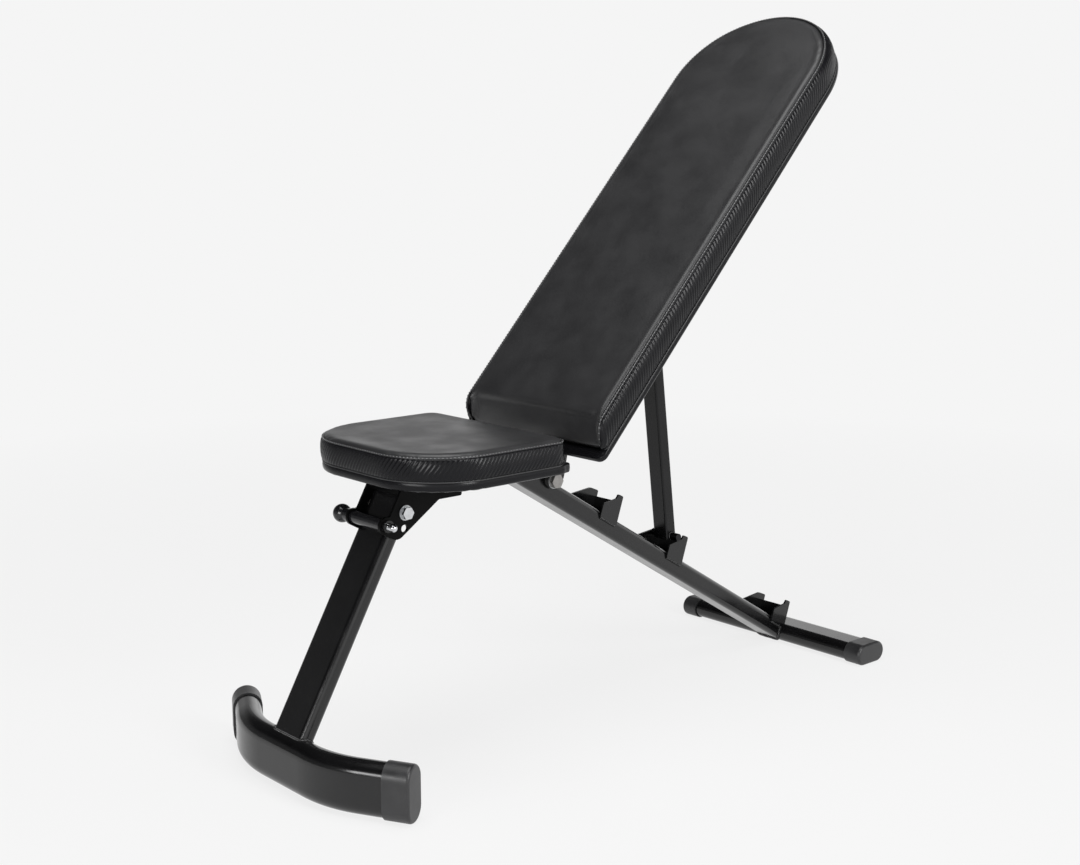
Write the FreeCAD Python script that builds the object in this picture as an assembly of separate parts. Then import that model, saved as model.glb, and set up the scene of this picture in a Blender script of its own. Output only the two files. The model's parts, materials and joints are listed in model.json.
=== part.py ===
import FreeCAD, Part
import math
import os
from FreeCAD import Vector

# Folding weight bench, in millimetres, +Z up.
# The model is drawn in bench coordinates: x across the bench, y towards the
# rear foot with y = 0 on that foot's centre line, z = 0 on the floor.  Each
# node is then moved so that the origin is the middle of the footprint.

# ---------------------------------------------------------------- fits
SEAT_GAP = 0.3             # between a resting piece and what carries it
SIDE_PLAY = 0.5            # each side, between a turning piece and its cheeks
BOLT_PLAY = 0.08           # radial play of a bolt in the pieces it clamps
PIN_PLAY = 0.1             # radial play of the locking pin in its plates
CAP_FIT = 0.05             # between a foot tube and its end cap
GRIP_FIT = 0.05            # between the locking pin and the grip and knob bored for it

# ---------------------------------------------------------------- feet
TUBE_WALL = 2.0
CAP_WALL = 2.2
CAP_RIM_RADIUS = 4.5

REAR_TUBE_DEPTH = 60.0     # along y
REAR_TUBE_HEIGHT = 28.0
REAR_FOOT_HALF_SPAN = 189.0
REAR_CAP_SLEEVE = 30.0

FRONT_TUBE_DEPTH = 35.0
FRONT_TUBE_HEIGHT = 70.0
FRONT_FOOT_HALF_SPAN = 192.0
FRONT_FOOT_STRAIGHT = 47.0     # half length of the straight middle
FRONT_FOOT_BEND_RADIUS = 170.0
FRONT_FOOT_SWEEP = 28.0        # degrees that each arm is swept to the rear
FRONT_CAP_SLEEVE = 36.0

# ---------------------------------------------------------------- spine
SPINE_WIDTH = 50.0
SPINE_HEIGHT = 28.0
SPINE_CORNER = 8.0
SPINE_SLOPE = 31.2             # degrees
SPINE_AXIS_AT_REAR = 6.4       # height of the axis over the rear foot's centre
SPINE_BEND_RADIUS = 60.0
SPINE_COPE_LIFT = 0.8          # lowest edge of the cope over the foot tube's underside
SEAT_UNDERSIDE = 383.0
SUPPORT_PLATE = 4.0            # plate between the spine and the seat board

# ---------------------------------------------------------------- front leg
LEG_WIDTH = 66.0
LEG_DEPTH = 22.0
LEG_CORNER = 8.5
LEG_LEAN = 29.4                # degrees from upright
LEG_PIVOT_Y = -792.5
LEG_PIVOT_DROP = 43.0          # below the seat board
LEG_OVERHANG = 18.0            # leg above its pivot
LEG_BUSH_RADIUS = 8.0
LEG_BOLT_RADIUS = 5.0

# ---------------------------------------------------------------- leg bracket
CHEEK = 4.0                    # thickness of the bracket's two cheeks
CHEEK_FRONT = 20.0             # front edge, ahead of the leg's axis
CHEEK_TOE = 37.5               # lowest edge, down the leg from the pivot
CHEEK_HEEL = 13.0              # rear corner of the toe, behind the leg's axis
CHEEK_REAR_Y = -700.0
CHEEK_STEP_Y = -738.0
CHEEK_REAR_DROP = 1.5          # rear of the cheeks below the spine's underside
PIN_ALONG = 26.0               # locking pin, down the leg from the pivot
PIN_LOBE_RADIUS = 11.0
STORE_ALONG = 18.8             # storage hole for the pin with the leg folded
STORE_BEHIND = 8.5

# ---------------------------------------------------------------- locking pin
PIN_RADIUS = 5.0
PIN_SLEEVE_RADIUS = 8.5
PIN_TIP_X = 50.0
PIN_SLEEVE_END_X = -50.0
PIN_BOSS_RADIUS = 8.0
PIN_BOSS_LENGTH = 5.0
KNOB_RADIUS = 12.5
KNOB_X = -61.0

# ---------------------------------------------------------------- catches
CATCH_PLATE = 3.0
CATCH_LAP = 9.0                # flange below the spine's top face
CATCH_WEB_HEIGHT = 25.5
CATCH_PLACES = {"upright": -136.5, "incline": 25.8, "flat": 313.9}
CATCH_DATUM_Y = -300.0         # catches are measured down the spine from here

# ---------------------------------------------------------------- seat
SEAT_HALF_WIDTH = 143.0
SEAT_FRONT_Y = -841.0
SEAT_REAR_Y = -609.0
SEAT_CORNER = 97.0
SEAT_REAR_CORNER = 10.0
SEAT_BOARD = 11.0
SEAT_FOAM = 36.0
SEAT_EDGE_RADIUS = 7.0
SEAT_PLATE_Y = -640.0
SEAT_PLATE_WIDTH = 40.0
SEAT_PLATE_HALF_SPAN = 75.0
SEAT_SCREW_X = 60.0
SEAT_SCREW_FRONT_Y = -722.0

# ---------------------------------------------------------------- backrest
BACK_HINGE_Y = -530.0
BACK_ANGLE = 47.3              # degrees from horizontal, as it rests
BACK_HALF_WIDTH = 139.0
BACK_TOP = 813.0               # along the back from the hinge
BACK_BOARD_END = 26.0
BACK_FOAM_END = 41.0
BACK_UNDERSIDE = 34.8          # board's underside off the hinge axis
BACK_BOARD = 8.0
BACK_BOARD_CORNER = 10.0
BACK_FOAM = 41.5
BACK_TOP_RADIUS = 163.0
BACK_CORNER_RADIUS = 115.0
BACK_ROLL_RADIUS = 22.0       # waterfall edge over the seat

HINGE_SLEEVE_RADIUS = 10.0
HINGE_SLEEVE_SIDE = 1.0        # sleeve past each side of the spine
HINGE_BOLT_RADIUS = 6.0
HINGE_ARM = 4.0
HINGE_EAR_RADIUS = 13.0
HINGE_ARM_FOOT = 60.0          # length of the arm's foot along the back
HINGE_ARM_LIP = 20.0           # width of the foot's screw flange

# ---------------------------------------------------------------- strut
STRUT_WIDTH = 28.0
STRUT_DEPTH = 20.0
STRUT_CORNER = 3.0
STRUT_ALONG = 324.0            # pivot, along the back from the hinge
STRUT_DROP = 20.0              # pivot below the board
STRUT_OVERHANG = 9.5
STRUT_TOE = 4.0                # strut below the middle of its cross bar
STRUT_BUSH_RADIUS = 6.5
STRUT_BOLT_RADIUS = 4.0
STRUT_EAR = 3.0
STRUT_EAR_RADIUS = 12.0
STRUT_FOOT = 56.0
CROSS_BAR_RADIUS = 5.5
CROSS_BAR_OVER = 2.0           # past the near flange's outer face
BAR_BEHIND_HORN = -20.9        # cross bar's centre, along the spine from the catch's horn
BAR_HEIGHT = 26.1              # and over the spine's top face

SCREW_RADIUS = 3.0
SCREW_HEAD_RADIUS = 6.5
SCREW_HEAD = 4.0

# ---------------------------------------------------------------- derived
REAR_CAP_GROWTH = CAP_WALL + CAP_FIT
REAR_FOOT_Z = REAR_TUBE_HEIGHT / 2 + REAR_CAP_GROWTH
FRONT_FOOT_Z = FRONT_TUBE_HEIGHT / 2 + REAR_CAP_GROWTH
SLOPE = math.radians(SPINE_SLOPE)
LEAN = math.radians(LEG_LEAN)
BACK = math.radians(BACK_ANGLE)
LEG_PIVOT_Z = SEAT_UNDERSIDE - LEG_PIVOT_DROP
SPINE_TOP_Z = SEAT_UNDERSIDE - SUPPORT_PLATE
SPINE_AXIS_Z = SPINE_TOP_Z - SPINE_HEIGHT / 2
SPINE_BEND_Y = -(SPINE_AXIS_Z - SPINE_AXIS_AT_REAR) / math.tan(SLOPE)
CHEEK_INNER_X = LEG_WIDTH / 2 + SIDE_PLAY
CHEEK_OUTER_X = CHEEK_INNER_X + CHEEK
PIN_AHEAD = LEG_DEPTH / 2 + SEAT_GAP + PIN_SLEEVE_RADIUS
# the leg's axis meets the centre of the foot tube's upper round
FRONT_FOOT_ROUND_Z = FRONT_FOOT_Z + (FRONT_TUBE_HEIGHT - FRONT_TUBE_DEPTH) / 2
FRONT_FOOT_Y = LEG_PIVOT_Y - (LEG_PIVOT_Z - FRONT_FOOT_ROUND_Z) * math.tan(LEAN)
# the hinge sleeve is let half-way into the spine's top face
BACK_HINGE_Z = (SPINE_AXIS_AT_REAR - BACK_HINGE_Y * math.tan(SLOPE)
                + SPINE_HEIGHT / 2 / math.cos(SLOPE))
HINGE_ARM_INNER_X = SPINE_WIDTH / 2 + HINGE_SLEEVE_SIDE + SEAT_GAP
FRONTMOST_Y = FRONT_FOOT_Y - FRONT_TUBE_DEPTH / 2
REARMOST_Y = REAR_TUBE_DEPTH / 2 + REAR_CAP_GROWTH
TO_FOOTPRINT_CENTRE = Vector(0, -(FRONTMOST_Y + REARMOST_Y) / 2, 0)

X_AXIS = Vector(1, 0, 0)
nodes = {}


def side_point(y, z, x=0.0):
    """A point of a side view, at a chosen x."""
    return Vector(x, y, z)


def leg_point(along, ahead):
    """Side view place from the leg's pivot: down the leg, and ahead of its axis."""
    y = LEG_PIVOT_Y - along * math.sin(LEAN) - ahead * math.cos(LEAN)
    z = LEG_PIVOT_Z - along * math.cos(LEAN) + ahead * math.sin(LEAN)
    return y, z


def spine_point(along, height):
    """Side view place on the spine: down the slope from the datum, and above its top face."""
    rise = height + SPINE_HEIGHT / 2
    axis_z = SPINE_AXIS_AT_REAR - CATCH_DATUM_Y * math.tan(SLOPE)
    y = CATCH_DATUM_Y + along * math.cos(SLOPE) + rise * math.sin(SLOPE)
    z = axis_z - along * math.sin(SLOPE) + rise * math.cos(SLOPE)
    return y, z


def back_point(along, out):
    """Side view place on the back: up it from the hinge, and out from the hinge axis."""
    y = BACK_HINGE_Y + along * math.cos(BACK) - out * math.sin(BACK)
    z = BACK_HINGE_Z + along * math.sin(BACK) + out * math.cos(BACK)
    return y, z


def rounded_wire(corners, place):
    """Closed wire through (u, v, radius) corners, rounded, with place(u, v) as 3-D point."""
    edges = []
    tangents = []
    count = len(corners)
    for index, (u, v, radius) in enumerate(corners):
        before = corners[index - 1]
        after = corners[(index + 1) % count]
        here = Vector(u, v, 0)
        back_way = (Vector(before[0], before[1], 0) - here).normalize()
        on_way = (Vector(after[0], after[1], 0) - here).normalize()
        if radius <= 0:
            tangents.append((here, None, here))
            continue
        half = back_way.getAngle(on_way) / 2
        reach = radius / math.tan(half)
        centre = here + (back_way + on_way).normalize() * (radius / math.sin(half))
        middle = centre + (here - centre).normalize() * radius
        tangents.append((here + back_way * reach, middle, here + on_way * reach))
    for index, (start, middle, end) in enumerate(tangents):
        if middle is not None:
            ends = [place(p.x, p.y) for p in (start, middle, end)]
            edges.append(Part.Arc(*ends).toShape())
        following = tangents[(index + 1) % count][0]
        if end.distanceToPoint(following) > 1e-6:
            edges.append(Part.makeLine(place(end.x, end.y), place(following.x, following.y)))
    return Part.Wire(Part.__sortEdges__(edges))


def rounded_box_wire(width, height, radius, place):
    """Rounded rectangle about the origin of its own plane."""
    u = width / 2
    v = height / 2
    corners = [(u, v, radius), (-u, v, radius), (-u, -v, radius), (u, -v, radius)]
    return rounded_wire(corners, place)


def side_plate(corners, x_from, x_to):
    """Plate cut to a side view outline and reaching from x_from to x_to."""
    wire = rounded_wire(corners, lambda u, v: side_point(u, v, x_from))
    return Part.Face(wire).extrude(Vector(x_to - x_from, 0, 0))


def cross_rod(y, z, radius, x_from, x_to):
    """Round bar or hole along x."""
    return Part.makeCylinder(radius, x_to - x_from, side_point(y, z, x_from), X_AXIS)


def ring(y, z, outer, inner, x_from, x_to):
    """Sleeve along x."""
    body = cross_rod(y, z, outer, x_from, x_to)
    return body.cut(cross_rod(y, z, inner, x_from - 1, x_to + 1))


def hexagon(y, z, across_flats, x_from, x_to):
    """Hexagonal prism along x, with its outer rim chamfered."""
    radius = across_flats / math.sqrt(3)
    angles = [math.radians(60 * corner) for corner in range(7)]
    points = [side_point(y + radius * math.cos(a), z + radius * math.sin(a), x_from) for a in angles]
    prism = Part.Face(Part.makePolygon(points)).extrude(Vector(x_to - x_from, 0, 0))
    rim = cross_rod(y, z, radius * 0.96, min(x_from, x_to), max(x_from, x_to))
    return prism.common(rim)


def bent_bar(face, moves):
    """Solid that a face sweeps through straight moves and turns, each (kind, values)."""
    pieces = []
    for kind, values in moves:
        if kind == "straight":
            pieces.append(face.extrude(values))
            face = face.translated(values)
        else:
            centre, axis, degrees = values
            pieces.append(face.revolve(centre, axis, degrees))
            face = face.rotated(centre, axis, degrees)
    return pieces[0].fuse(pieces[1:]).removeSplitter()


def largest(shape):
    """The biggest solid of a shape, without the offcuts of a trim."""
    return max(shape.Solids, key=lambda solid: solid.Volume)


def end_cap(depth, height, sleeve):
    """Push-on cap along +x from its mouth at x = 0, for a flat-sided oval tube."""
    growth = 2 * (CAP_WALL + CAP_FIT)
    outer_depth = depth + growth
    outer_height = height + growth
    wire = rounded_box_wire(outer_depth, outer_height, min(outer_depth, outer_height) / 2,
                            lambda u, v: Vector(0, u, v))
    body = Part.Face(wire).extrude(Vector(sleeve, 0, 0))
    rim = [edge for edge in body.Edges
           if all(abs(vertex.X - sleeve) < 1e-6 for vertex in edge.Vertexes)]
    body = body.makeFillet(CAP_RIM_RADIUS, rim)
    hole_depth = depth + 2 * CAP_FIT
    hole_height = height + 2 * CAP_FIT
    hole = rounded_box_wire(hole_depth, hole_height, min(hole_depth, hole_height) / 2,
                            lambda u, v: Vector(-1, u, v))
    return body.cut(Part.Face(hole).extrude(Vector(sleeve - CAP_WALL + 1, 0, 0)))


def bolt_and_nut(y, z, radius, across_flats, x_head, x_nut, washer_radius):
    """Hex bolt with its head at x_head and washers and a nut; x_nut is the far clamped face."""
    washer = radius * 0.2
    head = radius * 1.25
    nut = radius * 1.6
    shank = cross_rod(y, z, radius, x_nut - washer - nut - 2, x_head + washer)
    bolt = shank.fuse(hexagon(y, z, across_flats, x_head + washer, x_head + washer + head))
    nut_body = hexagon(y, z, across_flats, x_nut - washer, x_nut - washer - nut)
    nut_body = nut_body.cut(cross_rod(y, z, radius, x_nut - 2 * nut, x_nut + 1))
    washers = [ring(y, z, washer_radius, radius + BOLT_PLAY, x_head, x_head + washer),
               ring(y, z, washer_radius, radius + BOLT_PLAY, x_nut - washer, x_nut)]
    return bolt.removeSplitter(), Part.makeCompound([nut_body] + washers)


def rear_foot():
    """Flat oval cross tube on the floor with a cap on each end."""
    half = REAR_FOOT_HALF_SPAN - CAP_WALL

    def section(inset):
        depth = REAR_TUBE_DEPTH - 2 * inset
        height = REAR_TUBE_HEIGHT - 2 * inset
        wire = rounded_box_wire(depth, height, height / 2,
                                lambda u, v: Vector(-half, u, v + REAR_FOOT_Z))
        return Part.Face(wire).extrude(Vector(2 * half, 0, 0))

    nodes["rear_foot_tube"] = section(0).cut(section(TUBE_WALL))
    for side, turn in (("right", 0), ("left", 180)):
        cap = end_cap(REAR_TUBE_DEPTH, REAR_TUBE_HEIGHT, REAR_CAP_SLEEVE)
        cap.translate(Vector(REAR_FOOT_HALF_SPAN - REAR_CAP_SLEEVE, 0, REAR_FOOT_Z))
        cap.rotate(Vector(0, 0, 0), Vector(0, 0, 1), turn)
        nodes["rear_foot_cap_" + side] = cap
    return section(0)


def front_foot():
    """Tall oval tube with both arms swept to the rear, and its end caps."""
    sweep = math.radians(FRONT_FOOT_SWEEP)
    radius = FRONT_FOOT_BEND_RADIUS
    bend_x = FRONT_FOOT_STRAIGHT + radius * math.sin(sweep)
    bend_y = FRONT_FOOT_Y + radius * (1 - math.cos(sweep))
    arm = Vector(math.cos(sweep), math.sin(sweep), 0)
    reach = (FRONT_FOOT_HALF_SPAN - bend_x) / arm.x - CAP_WALL
    end = Vector(bend_x, bend_y, FRONT_FOOT_Z) + arm * reach
    start = Vector(-end.x, end.y, end.z)
    across = Vector(math.sin(sweep), math.cos(sweep), 0)
    upright = Vector(0, 0, 1)
    left_centre = Vector(-FRONT_FOOT_STRAIGHT, FRONT_FOOT_Y + radius, 0)
    right_centre = Vector(FRONT_FOOT_STRAIGHT, FRONT_FOOT_Y + radius, 0)
    moves = [("straight", Vector(arm.x, -arm.y, 0) * reach),
             ("turn", (left_centre, upright, FRONT_FOOT_SWEEP)),
             ("straight", Vector(2 * FRONT_FOOT_STRAIGHT, 0, 0)),
             ("turn", (right_centre, upright, FRONT_FOOT_SWEEP)),
             ("straight", arm * reach)]

    def swept(inset):
        depth = FRONT_TUBE_DEPTH - 2 * inset
        height = FRONT_TUBE_HEIGHT - 2 * inset
        wire = rounded_box_wire(depth, height, depth / 2,
                                lambda u, v: start + across * u + Vector(0, 0, v))
        return bent_bar(Part.Face(wire), moves)

    skin = swept(0)
    nodes["front_foot_tube"] = skin.cut(swept(TUBE_WALL))
    for side, sign in (("right", 1), ("left", -1)):
        cap = end_cap(FRONT_TUBE_DEPTH, FRONT_TUBE_HEIGHT, FRONT_CAP_SLEEVE)
        cap.rotate(Vector(0, 0, 0), Vector(0, 0, 1), FRONT_FOOT_SWEEP)
        mouth = end - arm * (FRONT_CAP_SLEEVE - CAP_WALL)
        cap.translate(mouth)
        if sign < 0:
            cap = cap.mirror(Vector(0, 0, 0), X_AXIS)
        nodes["front_foot_cap_" + side] = cap
    return skin


def front_leg(foot_skin):
    """Flat leg tube, coped onto the front foot, with its pivot bush."""
    length = LEG_OVERHANG + (LEG_PIVOT_Z - FRONT_FOOT_ROUND_Z) / math.cos(LEAN)
    top_y, top_z = leg_point(-LEG_OVERHANG, 0)
    down = Vector(0, -math.sin(LEAN), -math.cos(LEAN))
    ahead = Vector(0, -math.cos(LEAN), math.sin(LEAN))

    def section(inset):
        wire = rounded_box_wire(LEG_WIDTH - 2 * inset, LEG_DEPTH - 2 * inset, LEG_CORNER - inset,
                                lambda u, v: side_point(top_y, top_z, u) + ahead * v)
        return Part.Face(wire).extrude(down * length)

    tube = largest(section(0).cut(section(TUBE_WALL)).cut(foot_skin))
    half = LEG_WIDTH / 2
    nodes["front_leg_tube"] = tube.cut(
        cross_rod(LEG_PIVOT_Y, LEG_PIVOT_Z, LEG_BUSH_RADIUS, -half, half))
    nodes["leg_pivot_bush"] = ring(LEG_PIVOT_Y, LEG_PIVOT_Z, LEG_BUSH_RADIUS,
                                   LEG_BOLT_RADIUS + BOLT_PLAY, -half - SIDE_PLAY / 2,
                                   half + SIDE_PLAY / 2)


def leg_bracket():
    """Folded channel over the leg's top: two cheeks and the web that the seat board rests on."""
    pin_y, pin_z = leg_point(PIN_ALONG, PIN_AHEAD)
    store_y, store_z = leg_point(STORE_ALONG, -STORE_BEHIND)
    top_ahead = (LEG_PIVOT_Z + CHEEK_FRONT * math.sin(LEAN) - SEAT_UNDERSIDE) / math.cos(LEAN)
    lobe = PIN_LOBE_RADIUS
    rear_z = SPINE_TOP_Z - SPINE_HEIGHT - CHEEK_REAR_DROP
    outline = [
        leg_point(top_ahead, CHEEK_FRONT) + (0,),
        leg_point(PIN_ALONG - lobe, CHEEK_FRONT) + (3,),
        leg_point(PIN_ALONG - lobe, PIN_AHEAD + lobe) + (lobe * 0.98,),
        leg_point(CHEEK_TOE, PIN_AHEAD + lobe) + (lobe * 0.98,),
        leg_point(CHEEK_TOE, -CHEEK_HEEL / 2) + (14,),
        (CHEEK_STEP_Y, rear_z, 4),
        (CHEEK_REAR_Y, rear_z, 3),
        (CHEEK_REAR_Y, SEAT_UNDERSIDE, 0),
    ]
    block = side_plate(outline, -CHEEK_OUTER_X, CHEEK_OUTER_X)
    front_y = leg_point(top_ahead, CHEEK_FRONT)[0]
    floor_z = LEG_PIVOT_Z - 2 * CHEEK_TOE
    inside = Part.makeBox(2 * CHEEK_INNER_X, 400, SPINE_TOP_Z - floor_z,
                          Vector(-CHEEK_INNER_X, front_y - 200, floor_z))
    long_edges = [edge for edge in block.Edges
                  if abs(abs(edge.Vertexes[0].X) - CHEEK_OUTER_X) < 1e-6
                  and all(abs(vertex.Z - SEAT_UNDERSIDE) < 1e-6 for vertex in edge.Vertexes)
                  and edge.Length > 2 * CHEEK_OUTER_X]
    bracket = block.makeFillet(CHEEK * 0.7, long_edges).cut(inside)
    reach = CHEEK_OUTER_X + 1
    far_hole = PIN_SLEEVE_RADIUS + PIN_PLAY
    for y, z in ((pin_y, pin_z), (store_y, store_z)):
        bracket = bracket.cut(cross_rod(y, z, PIN_RADIUS + PIN_PLAY, 0, reach))
        bracket = bracket.cut(cross_rod(y, z, far_hole, -reach, 0))
    bracket = bracket.cut(cross_rod(LEG_PIVOT_Y, LEG_PIVOT_Z, LEG_BOLT_RADIUS + BOLT_PLAY,
                                    -reach, reach))
    nodes["leg_bracket"] = bracket
    bolt, nut = bolt_and_nut(LEG_PIVOT_Y, LEG_PIVOT_Z, LEG_BOLT_RADIUS, 15, CHEEK_OUTER_X,
                             -CHEEK_OUTER_X, 10)
    nodes["leg_pivot_bolt"] = bolt
    nodes["leg_pivot_nut"] = nut
    nodes["pin_boss"] = ring(pin_y, pin_z, PIN_BOSS_RADIUS, PIN_RADIUS + PIN_PLAY,
                             CHEEK_OUTER_X, CHEEK_OUTER_X + PIN_BOSS_LENGTH)
    locking_pin(pin_y, pin_z)


def locking_pin(y, z):
    """Pull pin: domed steel rod, grip sleeve that shoulders on the near cheek, and ball knob."""
    rod = cross_rod(y, z, PIN_RADIUS, KNOB_X + SEAT_GAP, PIN_TIP_X - PIN_RADIUS)
    dome = Part.makeSphere(PIN_RADIUS, side_point(y, z, PIN_TIP_X - PIN_RADIUS))
    nodes["locking_pin"] = rod.fuse(dome).removeSplitter()
    bore = PIN_RADIUS + GRIP_FIT
    nodes["pin_grip_sleeve"] = ring(y, z, PIN_SLEEVE_RADIUS, bore, PIN_SLEEVE_END_X,
                                    CHEEK_INNER_X - SEAT_GAP)
    nodes["pin_knob"] = ball_knob(y, z, bore, PIN_SLEEVE_END_X - SEAT_GAP)


def ball_knob(y, z, bore, collar_end):
    """Ball with a collar as wide as the grip sleeve, turned in one piece and bored to its middle."""
    def turned(x, radius):
        return Vector(x, y, z + radius)

    collar_start = KNOB_X + math.sqrt(KNOB_RADIUS ** 2 - PIN_SLEEVE_RADIUS ** 2)
    pole = turned(KNOB_X - KNOB_RADIUS, 0)
    neck = turned(collar_start, PIN_SLEEVE_RADIUS)
    corners = [neck, turned(collar_end, PIN_SLEEVE_RADIUS), turned(collar_end, bore),
               turned(KNOB_X, bore), turned(KNOB_X, 0), pole]
    ball = Part.Arc(pole, turned(KNOB_X, KNOB_RADIUS), neck).toShape()
    sides = [Part.makeLine(a, b) for a, b in zip(corners, corners[1:])]
    profile = Part.Face(Part.Wire([ball] + sides))
    return profile.revolve(side_point(y, z), X_AXIS, 360)


def spine_tube(foot_skin):
    """Main tube: level under the seat, one bend, then straight down onto the rear foot."""
    front_y = LEG_PIVOT_Y + math.hypot(LEG_OVERHANG, LEG_DEPTH / 2) + 12
    reach = SPINE_BEND_RADIUS * math.tan(SLOPE / 2)
    bend_from = SPINE_BEND_Y - reach
    start = side_point(front_y, SPINE_AXIS_Z)
    bend_centre = side_point(bend_from, SPINE_AXIS_Z - SPINE_BEND_RADIUS)
    slope_start_y = SPINE_BEND_Y + reach * math.cos(SLOPE)
    slope_length = -slope_start_y / math.cos(SLOPE)
    moves = [("straight", Vector(0, bend_from - front_y, 0)),
             ("turn", (bend_centre, X_AXIS, -SPINE_SLOPE)),
             ("straight", side_point(math.cos(SLOPE), -math.sin(SLOPE)) * slope_length)]

    def swept(inset):
        wire = rounded_box_wire(SPINE_WIDTH - 2 * inset, SPINE_HEIGHT - 2 * inset,
                                SPINE_CORNER - inset, lambda u, v: start + Vector(u, 0, v))
        return bent_bar(Part.Face(wire), moves)

    tube = swept(0).cut(swept(TUBE_WALL))
    foot_underside = REAR_FOOT_Z - REAR_TUBE_HEIGHT / 2 + SPINE_COPE_LIFT
    under = Part.makeBox(4 * SPINE_WIDTH, 4 * REAR_TUBE_DEPTH, 100,
                         Vector(-2 * SPINE_WIDTH, -2 * REAR_TUBE_DEPTH, foot_underside - 100))
    tube = largest(tube.cut(foot_skin).cut(under))
    notch = cross_rod(BACK_HINGE_Y, BACK_HINGE_Z, HINGE_SLEEVE_RADIUS, -SPINE_WIDTH, SPINE_WIDTH)
    nodes["spine_tube"] = tube.cut(notch)


def catch_bracket(name, place, foot_skin):
    """Catch for the strut: a short saddle flange with a horn, a guard flange and a rear web."""
    outer = SPINE_WIDTH / 2 + CATCH_PLATE
    lap = -CATCH_LAP

    def corner(along, height, radius):
        return spine_point(place + along, height) + (radius,)

    near = [corner(-27.5, lap, 2), corner(-31.2, 10.0, 3), corner(-15.5, 22.8, 0),
            corner(-11.1, 26.5, 3), corner(-10.5, 33.6, 2.5), corner(0, 34.3, 2.5),
            corner(9.5, lap, 1.5)]
    far = [corner(-62.0, lap, 1.5), corner(-60.0, 0.5, 2), corner(-17.0, 32.6, 8),
           corner(-0.2, 35.0, 3), corner(9.5, lap, 1.5)]
    web = [corner(1.6 - CATCH_PLATE, CATCH_WEB_HEIGHT, 0.8), corner(2.1, CATCH_WEB_HEIGHT, 0.8),
           corner(7.4, 0.0, 0), corner(7.4 - CATCH_PLATE, 0.0, 0)]
    plates = [side_plate(near, outer - CATCH_PLATE, outer),
              side_plate(far, CATCH_PLATE - outer, -outer),
              side_plate(web, CATCH_PLATE - outer, outer - CATCH_PLATE)]
    body = plates[0].fuse(plates[1:]).removeSplitter()
    nodes["catch_bracket_" + name] = largest(body.cut(foot_skin))


def seat():
    """Seat board on the bracket's web and a cross plate, and its cushion."""
    def outline(inset):
        half = SEAT_HALF_WIDTH - inset
        front = SEAT_FRONT_Y + inset
        rear = SEAT_REAR_Y - inset
        corner = SEAT_CORNER - inset
        return [(-half, front, corner), (half, front, corner),
                (half, rear, SEAT_REAR_CORNER), (-half, rear, SEAT_REAR_CORNER)]

    def slab(inset, low, thickness):
        wire = rounded_wire(outline(inset), lambda u, v: Vector(u, v, low))
        return Part.Face(wire).extrude(Vector(0, 0, thickness))

    board = slab(1.0, SEAT_UNDERSIDE, SEAT_BOARD)
    foam_low = SEAT_UNDERSIDE + SEAT_BOARD
    foam = slab(0, foam_low, SEAT_FOAM)
    foam_top = foam_low + SEAT_FOAM
    rim = [edge for edge in foam.Edges
           if all(abs(vertex.Z - foam_top) < 1e-6 for vertex in edge.Vertexes)]
    nodes["seat_cushion"] = foam.makeFillet(SEAT_EDGE_RADIUS, rim)
    plate = Part.makeBox(2 * SEAT_PLATE_HALF_SPAN, SEAT_PLATE_WIDTH, SUPPORT_PLATE,
                         Vector(-SEAT_PLATE_HALF_SPAN, SEAT_PLATE_Y - SEAT_PLATE_WIDTH / 2,
                                SPINE_TOP_Z))
    screws = []
    places = [(sign * SEAT_SCREW_X, SEAT_PLATE_Y) for sign in (-1, 1)]
    places += [(sign * (SPINE_WIDTH / 2 + 4.3), SEAT_SCREW_FRONT_Y) for sign in (-1, 1)]
    for x, y in places:
        shank = Part.makeCylinder(SCREW_RADIUS, SUPPORT_PLATE + SEAT_BOARD - 1,
                                  Vector(x, y, SPINE_TOP_Z))
        board = board.cut(shank)
        plate = plate.cut(shank)
        nodes["leg_bracket"] = nodes["leg_bracket"].cut(shank)
        head_radius = min(SCREW_HEAD_RADIUS, abs(abs(x) - SPINE_WIDTH / 2) - 0.2)
        head = Part.makeCone(head_radius * 0.75, head_radius, SCREW_HEAD,
                             Vector(x, y, SPINE_TOP_Z - SCREW_HEAD))
        screws.append(shank.fuse(head).removeSplitter())
    nodes["seat_board"] = board
    nodes["seat_plate"] = plate
    nodes["seat_screws"] = Part.makeCompound(screws)


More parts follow.
